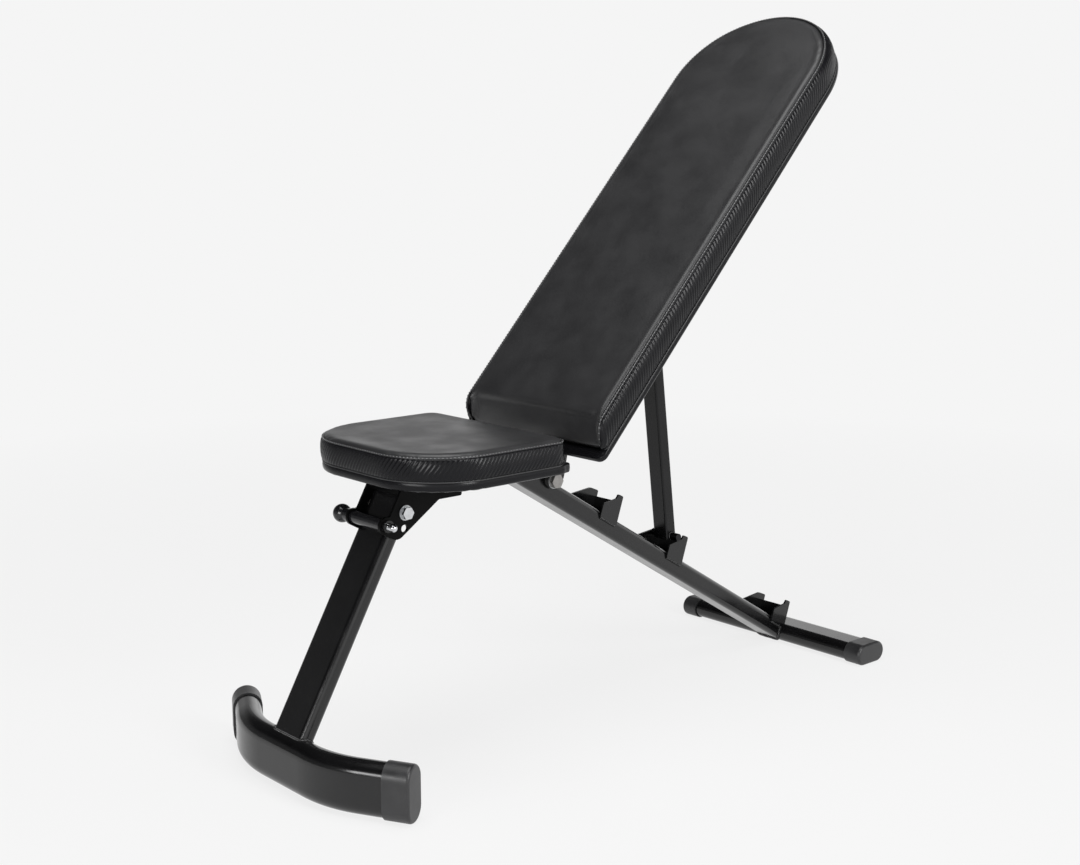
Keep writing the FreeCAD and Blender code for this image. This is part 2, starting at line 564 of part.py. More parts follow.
def back_wire(half, low, top, out, low_corner):
    """Outline of the back: square foot, straight sides and a top of three arcs."""
    corner = BACK_CORNER_RADIUS - (BACK_HALF_WIDTH - half)
    crown = BACK_TOP_RADIUS - (BACK_HALF_WIDTH - half)
    offset = half - corner
    crown_centre = top - crown
    corner_centre = crown_centre + math.sqrt((crown - corner) ** 2 - offset ** 2)
    lean = math.asin(offset / (crown - corner))
    shoulder = (math.pi / 2 - lean) / 2

    def at(u, v):
        y, z = back_point(v, out)
        return Vector(u, y, z)

    def arc(centre_u, centre_v, radius, angles):
        points = [at(centre_u + radius * math.cos(a), centre_v + radius * math.sin(a)) for a in angles]
        return Part.Arc(*points).toShape()

    join = math.pi / 2 - lean
    right = arc(offset, corner_centre, corner, (0, shoulder, join))
    crown_arc = arc(0, crown_centre, crown, (join, math.pi / 2, math.pi - join))
    left = arc(-offset, corner_centre, corner, (math.pi - join, math.pi - shoulder, math.pi))
    c = low_corner
    foot = [Part.makeLine(at(-half, corner_centre), at(-half, low + c)),
            Part.makeLine(at(-half + c, low), at(half - c, low)),
            Part.makeLine(at(half, low + c), at(half, corner_centre))]
    if c > 0:
        bulge = c * (1 - math.cos(math.pi / 4))
        for sign in (-1, 1):
            foot.append(Part.Arc(at(sign * half, low + c),
                                 at(sign * (half - bulge), low + bulge),
                                 at(sign * (half - c), low)).toShape())
    return Part.Wire(Part.__sortEdges__([right, crown_arc, left] + foot))


def backrest():
    """Back board with its cushion, hinge bracket, strut bracket and screws."""
    normal = Vector(0, -math.sin(BACK), math.cos(BACK))
    board_wire = back_wire(BACK_HALF_WIDTH - 1, BACK_BOARD_END, BACK_TOP - 1, BACK_UNDERSIDE,
                           BACK_BOARD_CORNER)
    board = Part.Face(board_wire).extrude(normal * BACK_BOARD)
    foam_low = BACK_UNDERSIDE + BACK_BOARD
    foam_wire = back_wire(BACK_HALF_WIDTH, BACK_FOAM_END, BACK_TOP, foam_low, 0)
    foam = Part.Face(foam_wire).extrude(normal * BACK_FOAM)
    foam_top = foam_low + BACK_FOAM
    roll_y, roll_z = back_point(BACK_FOAM_END + BACK_ROLL_RADIUS, foam_top - BACK_ROLL_RADIUS)
    block = [back_point(BACK_FOAM_END - 2, foam_top + 2) + (0,),
             back_point(BACK_FOAM_END + BACK_ROLL_RADIUS, foam_top + 2) + (0,),
             (roll_y, roll_z, 0),
             back_point(BACK_FOAM_END - 2, foam_top - BACK_ROLL_RADIUS) + (0,)]
    span = BACK_HALF_WIDTH + 5
    waste = side_plate(block, -span, span).cut(
        cross_rod(roll_y, roll_z, BACK_ROLL_RADIUS, -span, span))
    nodes["back_cushion"] = foam.cut(waste)
    nodes["back_board"] = board
    hinge_bracket()
    strut_bracket()


def back_plate(corners, x_from, x_to):
    """Plate cut to an outline of (along, out, radius) corners of the back's side view."""
    outline = [back_point(along, out) + (radius,) for along, out, radius in corners]
    return side_plate(outline, x_from, x_to)


def screw_into_back(x, along, seat_out, screws, carriers):
    """Round-headed screw through a bracket foot into the back board."""
    normal = Vector(0, -math.sin(BACK), math.cos(BACK))
    y, z = back_point(along, seat_out)
    start = Vector(x, y, z)
    depth = BACK_UNDERSIDE + BACK_BOARD - 1 - seat_out
    shank = Part.makeCylinder(SCREW_RADIUS, depth, start, normal)
    head = Part.makeCone(SCREW_HEAD_RADIUS * 0.75, SCREW_HEAD_RADIUS, SCREW_HEAD,
                         start - normal * SCREW_HEAD, normal)
    for carrier in carriers:
        nodes[carrier] = nodes[carrier].cut(shank)
    screws.append(shank.fuse(head).removeSplitter())


def hinge_bracket():
    """Two arms from the back board down to the hinge bolt beside the spine."""
    arms = []
    seat_out = BACK_UNDERSIDE
    foot_low = BACK_BOARD_END + 6
    foot_high = foot_low + HINGE_ARM_FOOT
    for sign in (-1, 1):
        inner = sign * HINGE_ARM_INNER_X
        outer = inner + sign * HINGE_ARM
        lip = outer + sign * HINGE_ARM_LIP
        ear = HINGE_EAR_RADIUS
        arm = back_plate([(-ear, -ear, ear * 0.98), (-ear * 0.9, ear, 8), (foot_low, seat_out, 0),
                          (foot_high, seat_out, 0), (ear, -ear, ear * 0.98)],
                         min(inner, outer), max(inner, outer))
        foot = back_plate([(foot_low, seat_out - HINGE_ARM, 1), (foot_low, seat_out, 0),
                           (foot_high, seat_out, 0), (foot_high, seat_out - HINGE_ARM, 1)],
                          min(inner, lip), max(inner, lip))
        bore = cross_rod(BACK_HINGE_Y, BACK_HINGE_Z, HINGE_BOLT_RADIUS + BOLT_PLAY, -60, 60)
        arms.append(arm.fuse(foot).removeSplitter().cut(bore))
    nodes["back_hinge_arm_left"] = arms[0]
    nodes["back_hinge_arm_right"] = arms[1]
    half = SPINE_WIDTH / 2 + HINGE_SLEEVE_SIDE
    nodes["hinge_sleeve"] = ring(BACK_HINGE_Y, BACK_HINGE_Z, HINGE_SLEEVE_RADIUS,
                                 HINGE_BOLT_RADIUS + BOLT_PLAY, -half, half)
    face = HINGE_ARM_INNER_X + HINGE_ARM
    bolt, nut = bolt_and_nut(BACK_HINGE_Y, BACK_HINGE_Z, HINGE_BOLT_RADIUS, 18, face, -face, 11)
    nodes["back_hinge_bolt"] = bolt
    nodes["back_hinge_nut"] = nut
    screws = []
    screw_x = face + HINGE_ARM_LIP / 2 + 1
    for sign, carrier in ((-1, "back_hinge_arm_left"), (1, "back_hinge_arm_right")):
        for along in (foot_low + 12, foot_high - 12):
            screw_into_back(sign * screw_x, along, seat_out - HINGE_ARM, screws,
                            [carrier, "back_board"])
    nodes["hinge_arm_screws"] = Part.makeCompound(screws)


def strut_pivot():
    """Side view place of the strut's pivot on the back."""
    return back_point(STRUT_ALONG, BACK_UNDERSIDE - STRUT_DROP)


def strut_bracket():
    """Channel under the back board that carries the strut's top."""
    y, z = strut_pivot()
    pivot_out = BACK_UNDERSIDE - STRUT_DROP
    inner = STRUT_WIDTH / 2 + SIDE_PLAY
    outer = inner + STRUT_EAR
    ear = STRUT_EAR_RADIUS
    half = STRUT_FOOT / 2
    parts = []
    for sign in (-1, 1):
        parts.append(back_plate([(STRUT_ALONG - ear, pivot_out - ear, ear * 0.98),
                                 (STRUT_ALONG - half * 0.7, BACK_UNDERSIDE, 0),
                                 (STRUT_ALONG + half * 0.7, BACK_UNDERSIDE, 0),
                                 (STRUT_ALONG + ear, pivot_out - ear, ear * 0.98)],
                                min(sign * inner, sign * outer), max(sign * inner, sign * outer)))
    base = back_plate([(STRUT_ALONG - half, BACK_UNDERSIDE - STRUT_EAR, 1),
                       (STRUT_ALONG - half, BACK_UNDERSIDE, 0),
                       (STRUT_ALONG + half, BACK_UNDERSIDE, 0),
                       (STRUT_ALONG + half, BACK_UNDERSIDE - STRUT_EAR, 1)],
                      -outer - 22, outer + 22)
    body = base.fuse(parts).removeSplitter()
    nodes["strut_bracket"] = body.cut(
        cross_rod(y, z, STRUT_BOLT_RADIUS + BOLT_PLAY, -outer - 1, outer + 1))
    bolt, nut = bolt_and_nut(y, z, STRUT_BOLT_RADIUS, 13, outer, -outer, 8)
    nodes["strut_bolt"] = bolt
    nodes["strut_nut"] = nut
    screws = []
    for x in (-outer - 11, outer + 11):
        for along in (STRUT_ALONG - half / 2, STRUT_ALONG + half / 2):
            screw_into_back(x, along, BACK_UNDERSIDE - STRUT_EAR, screws,
                            ["strut_bracket", "back_board"])
    nodes["strut_bracket_screws"] = Part.makeCompound(screws)


def strut():
    """Strut tube with its top bush and the cross bar that drops into a catch."""
    top_y, top_z = strut_pivot()
    bar_y, bar_z = spine_point(CATCH_PLACES["incline"] + BAR_BEHIND_HORN, BAR_HEIGHT)
    down = Vector(0, bar_y - top_y, bar_z - top_z)
    length = down.Length + STRUT_OVERHANG + STRUT_TOE
    down.normalize()
    across = Vector(0, -down.z, down.y)
    start = side_point(top_y, top_z) - down * STRUT_OVERHANG

    def section(inset):
        wire = rounded_box_wire(STRUT_WIDTH - 2 * inset, STRUT_DEPTH - 2 * inset,
                                STRUT_CORNER - inset,
                                lambda u, v: start + X_AXIS * u + across * v)
        return Part.Face(wire).extrude(down * length)

    half = STRUT_WIDTH / 2
    tube = section(0).cut(section(TUBE_WALL))
    tube = tube.cut(cross_rod(top_y, top_z, STRUT_BUSH_RADIUS, -half - 1, half + 1))
    tube = tube.cut(cross_rod(bar_y, bar_z, CROSS_BAR_RADIUS, -half - 1, half + 1))
    nodes["strut_tube"] = tube
    nodes["strut_bush"] = ring(top_y, top_z, STRUT_BUSH_RADIUS, STRUT_BOLT_RADIUS + BOLT_PLAY,
                               -half - SIDE_PLAY / 2, half + SIDE_PLAY / 2)
    near_end = SPINE_WIDTH / 2 + CATCH_PLATE + CROSS_BAR_OVER
    far_end = -SPINE_WIDTH / 2 + SEAT_GAP
    bar = cross_rod(bar_y, bar_z, CROSS_BAR_RADIUS, far_end, near_end)
    ends = [edge for edge in bar.Edges if len(edge.Vertexes) == 1]
    nodes["strut_cross_bar"] = bar.makeChamfer(1.0, ends)


def main():
    """Build every node and write one STEP file for each."""
    rear_skin = rear_foot()
    foot_skin = front_foot()
    front_leg(foot_skin)
    leg_bracket()
    spine_tube(rear_skin)
    for name, place in CATCH_PLACES.items():
        catch_bracket(name, place, rear_skin)
    seat()
    backrest()
    strut()
    os.makedirs("parts", exist_ok=True)
    for name, shape in nodes.items():
        placed = shape.copy()
        placed.translate(TO_FOOTPRINT_CENTRE)
        placed.exportStep("parts/" + name + ".step")


main()
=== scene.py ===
"""Folding weight bench: upholstery, welds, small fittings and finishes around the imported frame.

Every length is in metres in the row frame: x across the bench, y towards the rear foot, z up.
"""
import json
import logging
import math
from collections.abc import Callable
from dataclasses import dataclass, field
from enum import Enum

import bmesh
import bpy
import numpy as np
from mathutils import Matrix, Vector


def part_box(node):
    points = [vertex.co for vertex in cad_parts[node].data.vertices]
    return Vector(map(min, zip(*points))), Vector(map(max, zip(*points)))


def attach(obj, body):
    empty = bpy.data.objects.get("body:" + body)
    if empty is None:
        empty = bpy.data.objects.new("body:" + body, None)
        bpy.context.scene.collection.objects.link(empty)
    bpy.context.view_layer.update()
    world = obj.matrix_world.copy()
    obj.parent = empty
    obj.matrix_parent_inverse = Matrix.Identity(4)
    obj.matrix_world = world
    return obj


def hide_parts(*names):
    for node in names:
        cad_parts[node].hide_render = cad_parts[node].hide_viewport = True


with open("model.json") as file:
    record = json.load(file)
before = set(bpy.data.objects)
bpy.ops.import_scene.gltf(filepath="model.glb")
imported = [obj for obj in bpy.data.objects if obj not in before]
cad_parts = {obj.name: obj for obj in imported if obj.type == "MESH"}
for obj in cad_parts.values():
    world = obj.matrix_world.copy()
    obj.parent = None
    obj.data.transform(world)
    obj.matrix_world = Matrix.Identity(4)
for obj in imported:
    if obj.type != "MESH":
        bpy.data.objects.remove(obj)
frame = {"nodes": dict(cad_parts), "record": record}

MM = 0.001
TURN = 2 * math.pi
QUARTER = math.pi / 2
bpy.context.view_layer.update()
SPECIAL_FINISHES = {"leg_bracket": "bracket_paint", "strut_tube": "strut_paint",
                    "leg_pivot_bolt": "chrome", "back_hinge_bolt": "bush_steel"}
log = logging.getLogger("bench")
Array = np.ndarray
Socket = bpy.types.NodeSocket
Object = bpy.types.Object
ACROSS = np.array([1.0, 0.0, 0.0])


class Plating(Enum):
    """Surface treatments of the bare metal pieces: name, colour, roughness."""

    CHROME = ("chrome", (0.62, 0.63, 0.65), 0.14)
    ZINC = ("zinc", (0.46, 0.47, 0.48), 0.34)
    STEEL = ("bush_steel", (0.30, 0.29, 0.28), 0.42)
    BLACK_OXIDE = ("bar_steel", (0.030, 0.030, 0.032), 0.30)


# ------------------------------------------------------------------ finishes
class Nodes:
    """Node tree whose nodes are added and linked by the names of their inputs."""

    def __init__(self, tree: bpy.types.NodeTree) -> None:
        """Work on a tree.

        Args:
            tree: the node tree of a material or a world.
        """
        self.tree = tree

    def put(self, value: object, target: Socket) -> None:
        """Link an input to a socket, or set it to a value."""
        if isinstance(value, Socket):
            self.tree.links.new(value, target)
        else:
            target.default_value = value

    def node(self, kind: str, *values: object, **inputs: object) -> bpy.types.Node:
        """Add a node and set or link its inputs.

        Args:
            kind: Blender's name of the node type, after ShaderNode.
            *values: values or sockets of its first inputs, in order.
            **inputs: values or sockets, by the input's name with underscores for spaces.

        Returns:
            The new node.
        """
        made = self.tree.nodes.new("ShaderNode" + kind)
        for target, value in zip(made.inputs, values):
            self.put(value, target)
        for key, value in inputs.items():
            self.put(value, made.inputs[key.replace("_", " ")])
        return made

    def maths(self, operation: str, *values: object) -> Socket:
        """Result of one of Blender's operations on one or two values."""
        made = self.node("Math", *values)
        made.operation = operation
        return made.outputs[0]

    def vector(self, operation: str, *values: object) -> Socket:
        """Number that one of Blender's operations makes of one or two vectors."""
        made = self.node("VectorMath", *values)
        made.operation = operation
        return made.outputs["Value"]

    def span(self, value: Socket, low: float, high: float, start: float = 0.3,
             end: float = 0.7) -> Socket:
        """Value stretched so that start to end becomes low to high."""
        made = self.node("MapRange", Value=value, From_Min=start, From_Max=end, To_Min=low,
                         To_Max=high)
        return made.outputs[0]

    def ramp(self, value: Socket, *stops: tuple) -> Socket:
        """Colour that runs between two stops, each a position and a colour."""
        made = self.node("ValToRGB", Fac=value)
        for element, (position, colour) in zip(made.color_ramp.elements, stops):
            element.position = position
            element.color = (*colour, 1)
        return made.outputs["Color"]

    def mix(self, share: Socket, first: Socket, second: Socket, output: str) -> None:
        """Mix two shaders by share, and link them to the surface of the output node."""
        mixed = self.node("MixShader", share, first, second)
        self.put(mixed.outputs[0], self.tree.nodes[output].inputs["Surface"])


class Shader(Nodes):
    """Node tree of one finish, with its Principled shader and pattern coordinates."""

    def __init__(self, name: str) -> None:
        """Start an empty finish.

        Args:
            name: name of the material.
        """
        self.material = bpy.data.materials.new("bench_" + name)
        self.material.use_nodes = True
        super().__init__(self.material.node_tree)
        self.surface = self.tree.nodes["Principled BSDF"]
        self.place = self.node("TexCoord").outputs["Object"]

    def noise(self, size: float, detail: float = 3.0, stretch: tuple = (1, 1, 1)) -> Socket:
        """Cloudy pattern whose blotches are about as wide as size.

        Args:
            size: width of a blotch, in metres.
            detail: octaves of finer noise.
            stretch: how many times the pattern is repeated along x, y and z.

        Returns:
            The pattern's value socket.
        """
        turned = self.node("Mapping", Vector=self.place, Scale=stretch)
        return self.node("TexNoise", Vector=turned.outputs[0], Scale=1 / size,
                         Detail=detail).outputs["Fac"]

    def cells(self, size: float) -> Socket:
        """Distance from the middle of irregular cells as wide as size."""
        return self.node("TexVoronoi", Vector=self.place, Scale=1 / size).outputs["Distance"]

    def tint(self, value: Socket, colour: tuple, dark: float, light: float) -> Socket:
        """Colour times dark to light, as value goes from 0.3 to 0.7."""
        return self.ramp(value, (0.3, shade(colour, dark)), (0.7, shade(colour, light)))

    def relief(self, height: Socket, strength: float, depth: float,
               under: Socket | None = None) -> Socket:
        """Bump of the given depth, laid over another bump if one is given."""
        made = self.node("Bump", Height=height, Strength=strength, Distance=depth)
        if under is not None:
            self.put(under, made.inputs["Normal"])
        return made.outputs[0]

    def finish(self, **inputs: object) -> bpy.types.Material:
        """Set or link the Principled shader's sockets, and hand the material over."""
        for key, value in inputs.items():
            self.put(value, self.surface.inputs[key.replace("_", " ")])
        return self.material


def shade(colour: tuple, share: float) -> tuple:
    """Colour made lighter or darker by a share."""
    return tuple(channel * share for channel in colour)


@dataclass(frozen=True)
class PowderCoat:
    """Gloss black powder coat with faint orange peel and a slightly uneven shine."""

    name: str = "frame_paint"
    colour: tuple = (0.004, 0.004, 0.0043)
    gloss: tuple = (0.13, 0.21)
    peel: float = 2.6 * MM
    shine: float = 0.5

    def material(self) -> bpy.types.Material:
        """Make the finish."""
        shader = Shader(self.name)
        clouds = shader.noise(60 * MM)
        scuffs = shader.noise(1.1 * MM, 6.0, (1, 0.25, 0.25))
        worn = shader.span(scuffs, 0.0, 0.07, 0.60, 0.78)
        rough = shader.maths("ADD", shader.span(clouds, *self.gloss), worn)
        peel = shader.relief(shader.noise(self.peel, 1.0), 0.10, 0.12 * MM)
        return shader.finish(Base_Color=shader.tint(clouds, self.colour, 0.8, 1.25),
                             Roughness=rough, Specular_IOR_Level=self.shine, Normal=peel)


@dataclass(frozen=True)
class Vinyl:
    """Black upholstery vinyl: pebbled grain, fine creases and soft patches of shine."""

    name: str
    colour: tuple
    gloss: tuple
    grain: float = 1.1 * MM
    grain_depth: float = 0.10 * MM
    shine: float = 0.5

    def material(self) -> bpy.types.Material:
        """Make the finish."""
        shader = Shader(self.name)
        patches = shader.noise(45 * MM, 2.0)
        pebbles = shader.relief(shader.cells(self.grain), 0.55, self.grain_depth)
        creases = shader.relief(shader.noise(24 * MM, 3.0), 0.22, 0.4 * MM, pebbles)
        return shader.finish(Base_Color=shader.tint(patches, self.colour, 0.92, 1.1),
                             Roughness=shader.span(patches, *self.gloss),
                             Specular_IOR_Level=self.shine, Normal=creases)


@dataclass(frozen=True)
class MouldedPlastic:
    """Satin black moulded plastic with fine spark texture."""

    name: str
    colour: tuple
    gloss: tuple
    spark: float = 0.7 * MM

    def material(self) -> bpy.types.Material:
        """Make the finish."""
        shader = Shader(self.name)
        patches = shader.noise(25 * MM)
        texture = shader.relief(shader.noise(self.spark, 2.0), 0.3, 0.06 * MM)
        return shader.finish(Base_Color=shader.tint(patches, self.colour, 0.85, 1.2),
                             Roughness=shader.span(patches, *self.gloss), Normal=texture)


@dataclass(frozen=True)
class PlatedMetal:
    """Plated or blackened steel with a fine turned grain and smudges."""

    plating: Plating

    @property
    def name(self) -> str:
        """Name of the finish."""
        return self.plating.value[0]

    def material(self) -> bpy.types.Material:
        """Make the finish."""
        _, colour, roughness = self.plating.value
        shader = Shader(self.name)
        smudges = shader.noise(6 * MM, 4.0)
        turned = shader.relief(shader.noise(0.6 * MM, 2.0, (0.15, 1, 1)), 0.15, 0.03 * MM)
        rough = shader.span(smudges, roughness * 0.7, roughness * 1.3)
        return shader.finish(Base_Color=shader.tint(smudges, colour, 0.85, 1.1), Metallic=1.0,
                             Roughness=rough, Normal=turned)


@dataclass(frozen=True)
class Thread:
    """Bonded polyester sewing thread, dark grey, painted a lighter grey as a highlight along the
    stitches.
    """

    name: str = "thread"
    # painted highlight: this grey is lighter than the dark thread, and stands in for the light
    # that catches the stitches
    colour: tuple = (0.21, 0.21, 0.215)

    def material(self) -> bpy.types.Material:
        """Make the finish."""
        shader = Shader(self.name)
        twist = shader.noise(0.5 * MM, 2.0)
        return shader.finish(Base_Color=shader.tint(twist, self.colour, 0.6, 1.4),
                             Roughness=shader.span(twist, 0.4, 0.6),
                             Normal=shader.relief(twist, 0.5, 0.08 * MM))


@dataclass(frozen=True)
class DustCover:
    """Black non-woven cloth stretched over the underside of a board."""

    name: str = "board_cover"
    colour: tuple = (0.012, 0.012, 0.012)

    def material(self) -> bpy.types.Material:
        """Make the finish."""
        shader = Shader(self.name)
        fibres = shader.noise(0.9 * MM, 6.0, (1, 0.3, 1))
        dimples = shader.relief(shader.cells(2.2 * MM), 0.5, 0.15 * MM)
        return shader.finish(Base_Color=shader.tint(fibres, self.colour, 0.6, 1.7),
                             Roughness=shader.span(fibres, 0.75, 0.95),
                             Normal=shader.relief(fibres, 0.5, 0.1 * MM, dimples))


@dataclass
class Palette:
    """Every finish of the bench, by the record's slot or the piece's own name."""

    made: dict = field(default_factory=dict)

    def __post_init__(self) -> None:
        """Make all the finishes."""
        makers = [PowderCoat(), Thread(), DustCover(),
                  PowderCoat("bracket_paint", (0.0025, 0.0025, 0.0025), (0.30, 0.42), 1.2 * MM,
                             0.06),
                  PowderCoat("strut_paint", gloss=(0.18, 0.27), shine=0.26),
                  Vinyl("vinyl", (0.019, 0.019, 0.020), (0.36, 0.46)),
                  Vinyl("boxing_vinyl", (0.006, 0.006, 0.007), (0.18, 0.26), 0.8 * MM, 0.05 * MM,
                        0.16),
                  MouldedPlastic("cap_plastic", (0.020, 0.020, 0.021), (0.34, 0.46)),
                  MouldedPlastic("knob_plastic", (0.008, 0.008, 0.009), (0.15, 0.22))]
        makers += [PlatedMetal(plating) for plating in Plating]
        self.made = {maker.name: maker.material() for maker in makers}

    def __getitem__(self, name: str) -> bpy.types.Material:
        """The finish of that name."""
        return self.made[name]

    def dress(self) -> None:
        """Give each node of the frame the finish of its own material slot."""
        slots = node_slots()
        for name, piece in frame["nodes"].items():
            finish = self[SPECIAL_FINISHES.get(name, slots[name])]
            if not piece.material_slots:
                piece.data.materials.append(finish)
            for material_slot in piece.material_slots:
                material_slot.material = finish
            log.info("dressed %s in %s", name, finish.name)


def node_slots() -> dict:
    """Material slot of every node, read from the record."""
    return {part["node"]: part["material_slot"] for part in frame["record"]["subparts"]}


# ------------------------------------------------------------------ surfaces
def grid_faces(rows: int, columns: int, close_rows: bool, close_columns: bool) -> Array:
    """Quads between the points of a grid.

    Args:
        rows: points in a column.
        columns: points in a row.
        close_rows: join the last row to the first.
        close_columns: join the last column to the first.

    Returns:
        Four point numbers for each quad, where row r and column c is point r * columns + c.
    """
    r = np.arange(rows if close_rows else rows - 1)[:, None]
    c = np.arange(columns if close_columns else columns - 1)[None, :]
    below, right = (r + 1) % rows, (c + 1) % columns
    corners = [r * columns + c, r * columns + right, below * columns + right, below * columns + c]
    return np.stack([np.broadcast_to(k, (r.size, c.size)) for k in corners], -1).reshape(-1, 4)


def surface(name: str, points: Array, face_sets: list, finish: bpy.types.Material) -> Object:
    """Mesh object from computed points and faces, with its faces turned outwards.

    Args:
        name: name of the piece.
        points: array whose last axis is x, y, z in the row frame.
        face_sets: arrays of point numbers, each with faces of one corner count.
        finish: material of the piece.

    Returns:
        The new object, at the origin.
    """
    mesh = bpy.data.meshes.new(name)
    flat = np.ascontiguousarray(points, dtype=np.float32).reshape(-1, 3)
    mesh.vertices.add(len(flat))
    mesh.vertices.foreach_set("co", flat.ravel())
    counts = np.concatenate([np.full(len(faces), faces.shape[1]) for faces in face_sets])
    corners = np.concatenate([faces.ravel() for faces in face_sets]).astype(np.int32)
    starts = np.concatenate([[0], np.cumsum(counts)[:-1]]).astype(np.int32)
    mesh.loops.add(len(corners))
    mesh.loops.foreach_set("vertex_index", corners)
    mesh.polygons.add(len(counts))
    mesh.polygons.foreach_set("loop_start", starts)
    mesh.polygons.foreach_set("use_smooth", np.ones(len(counts), bool))
    mesh.update(calc_edges=True)
    mesh.validate()
    merge_doubles(mesh)
    mesh.materials.append(finish)
    piece = bpy.data.objects.new(name, mesh)
    bpy.context.scene.collection.objects.link(piece)
    turn_outwards(mesh)
    return piece


def merge_doubles(mesh: bpy.types.Mesh) -> None:
    """Merge points closer than a micrometre, which closes seams and poles."""
    work = bmesh.new()
    work.from_mesh(mesh)
    bmesh.ops.remove_doubles(work, verts=work.verts, dist=0.001 * MM)
    work.to_mesh(mesh)
    work.free()


def turn_outwards(mesh: bpy.types.Mesh) -> None:
    """Flip the faces if the volume that they close, the sum of their cones, is negative."""
    mesh.calc_loop_triangles()
    corners = np.empty(len(mesh.loop_triangles) * 3, np.int32)
    mesh.loop_triangles.foreach_get("vertices", corners)
    places = np.empty(len(mesh.vertices) * 3, np.float32)
    mesh.vertices.foreach_get("co", places)
    a, b, c = places.reshape(-1, 3)[corners.reshape(-1, 3)].transpose(1, 0, 2).astype(float)
    if np.einsum("ij,ij->i", a, np.cross(b, c)).sum() < 0:
        mesh.flip_normals()


def declare(piece: Object, body: str) -> Object:
    """Let a piece ride on a body, and report it."""
    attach(piece, body)
    log.info("made %s", piece.name)
    return piece


def unit(vectors: Array) -> Array:
    """Vectors scaled to a length of one."""
    return vectors / np.maximum(np.linalg.norm(vectors, axis=-1, keepdims=True), 1e-12)


def along_path(points: Array) -> Array:
    """Distance of each point from the first, along the path."""
    steps = np.linalg.norm(np.diff(points, axis=0), axis=1)
    return np.concatenate([[0.0], np.cumsum(steps)])


def evenly(points: Array, spacing: float, closed: bool) -> Array:
    """Path with its points set evenly, about a spacing apart, by linear interpolation."""
    loop = np.vstack([points, points[:1]]) if closed else points
    travel = along_path(loop)
    count = max(3, int(round(travel[-1] / spacing)))
    marks = np.linspace(0, travel[-1], count + 1)
    marks = marks[:-1] if closed else marks
    return np.stack([np.interp(marks, travel, loop[:, k]) for k in range(loop.shape[1])], 1)


def tangents(points: Array, closed: bool) -> Array:
    """Direction of travel at each point, from the points on both sides."""
    if closed:
        return unit(np.roll(points, -1, 0) - np.roll(points, 1, 0))
    return unit(np.gradient(points, axis=0))


def tube(name: str, path: Array, radius: Array | float, aside: Array, sides: int, closed: bool,
         finish: bpy.types.Material) -> Object:
    """Round cord along a path.

    Point (i, a) is path i plus radius i times (cos a * aside + sin a * (travel x aside)).

    Args:
        name: name of the piece.
        path: points of its centre line.
        radius: one radius, or one at each point.
        aside: a direction across the path, or one at each point.
        sides: faces round the cord.
        closed: whether the path is a loop.
        finish: material of the piece.

    Returns:
        The new object.
    """
    travel = tangents(path, closed)
    across = np.broadcast_to(aside, path.shape).astype(float)
    across = unit(across - travel * np.einsum("ij,ij->i", across, travel)[:, None])
    over = np.cross(travel, across)
    angle = np.linspace(0, TURN, sides, endpoint=False)
    size = np.broadcast_to(np.asarray(radius, float), (len(path),))[:, None, None]
    cosine, sine = np.cos(angle)[None, :, None], np.sin(angle)[None, :, None]
    ring = across[:, None] * cosine + over[:, None] * sine
    points = path[:, None] + size * ring
    faces = [grid_faces(len(path), sides, closed, True)]
    if not closed:
        ends = np.arange(sides)
        faces += [ends[None, ::-1], (ends + (len(path) - 1) * sides)[None]]
    return surface(name, points, faces, finish)


def capsules(name: str, middles: Array, long_way: Array, over: Array, half_length: float,
             half_width: float, half_height: float, finish: bpy.types.Material) -> Object:
    """Many small rounded bars in one mesh, such as stitches or staples.

    Point (k, i, j) is middle k plus a squared ellipsoid: the unit sphere at latitude i and
    longitude j, scaled along the bar, across it and over it.

    Args:
        name: name of the piece.
        middles: the middle of each bar.
        long_way: direction of each bar.
        over: direction away from the surface, at each bar.
        half_length: half the length.
        half_width: half the width.
        half_height: half the height.
        finish: material of the piece.

    Returns:
        The new object.
    """
    bands = 6
    latitude = np.linspace(0, math.pi, bands)[:, None]
    longitude = np.linspace(0, TURN, bands, endpoint=False)[None, :]
    x = np.cos(latitude) * np.ones_like(longitude)
    swell = np.sin(latitude) ** 0.5
    y, z = swell * np.cos(longitude), swell * np.sin(longitude)
    shape = np.stack([x * half_length, y * half_width, z * half_height], -1).reshape(-1, 3)
    aside = unit(np.cross(over, long_way))
    axes = np.stack([long_way, aside, over], 1)
    points = middles[:, None] + np.einsum("pk,nkd->npd", shape, axes)
    quads = grid_faces(bands, bands, False, True)
    offsets = (np.arange(len(middles)) * bands ** 2)[:, None, None]
    return surface(name, points, [(quads[None] + offsets).reshape(-1, 4)], finish)


# ------------------------------------------------------------------ pads
@dataclass
class PadPlace:
    """Where a pad lies: its origin, the way it runs, and the way it faces."""

    origin: Array
    tilt: float

    def world(self, local: Array) -> Array:
        """Row frame places of local ones: x across, v along the pad and n off its board."""
        along = np.array([0.0, math.cos(self.tilt), math.sin(self.tilt)])
        out = np.array([0.0, -math.sin(self.tilt), math.cos(self.tilt)])
        return (self.origin + local[..., :1] * ACROSS + local[..., 1:2] * along
                + local[..., 2:] * out)

    def turn(self, local: Array) -> Array:
        """Row frame directions of local ones."""
        return self.world(local) - self.origin


def arc_points(centre: tuple, radius: float, start: float, end: float, count: int) -> Array:
    """Points of an arc: centre plus radius times (cos a, sin a), for a from start to end."""
    angle = np.linspace(start, end, count)
    return np.stack([centre[0] + radius * np.cos(angle), centre[1] + radius * np.sin(angle)], 1)


def corner_arcs(corners: list, start: float) -> list:
    """Quarter turns, one after another from an angle: rows of centre, radius and point count."""
    return [arc_points(centre, radius, start + k * QUARTER, start + (k + 1) * QUARTER, count)
            for k, (centre, radius, count) in enumerate(corners)]


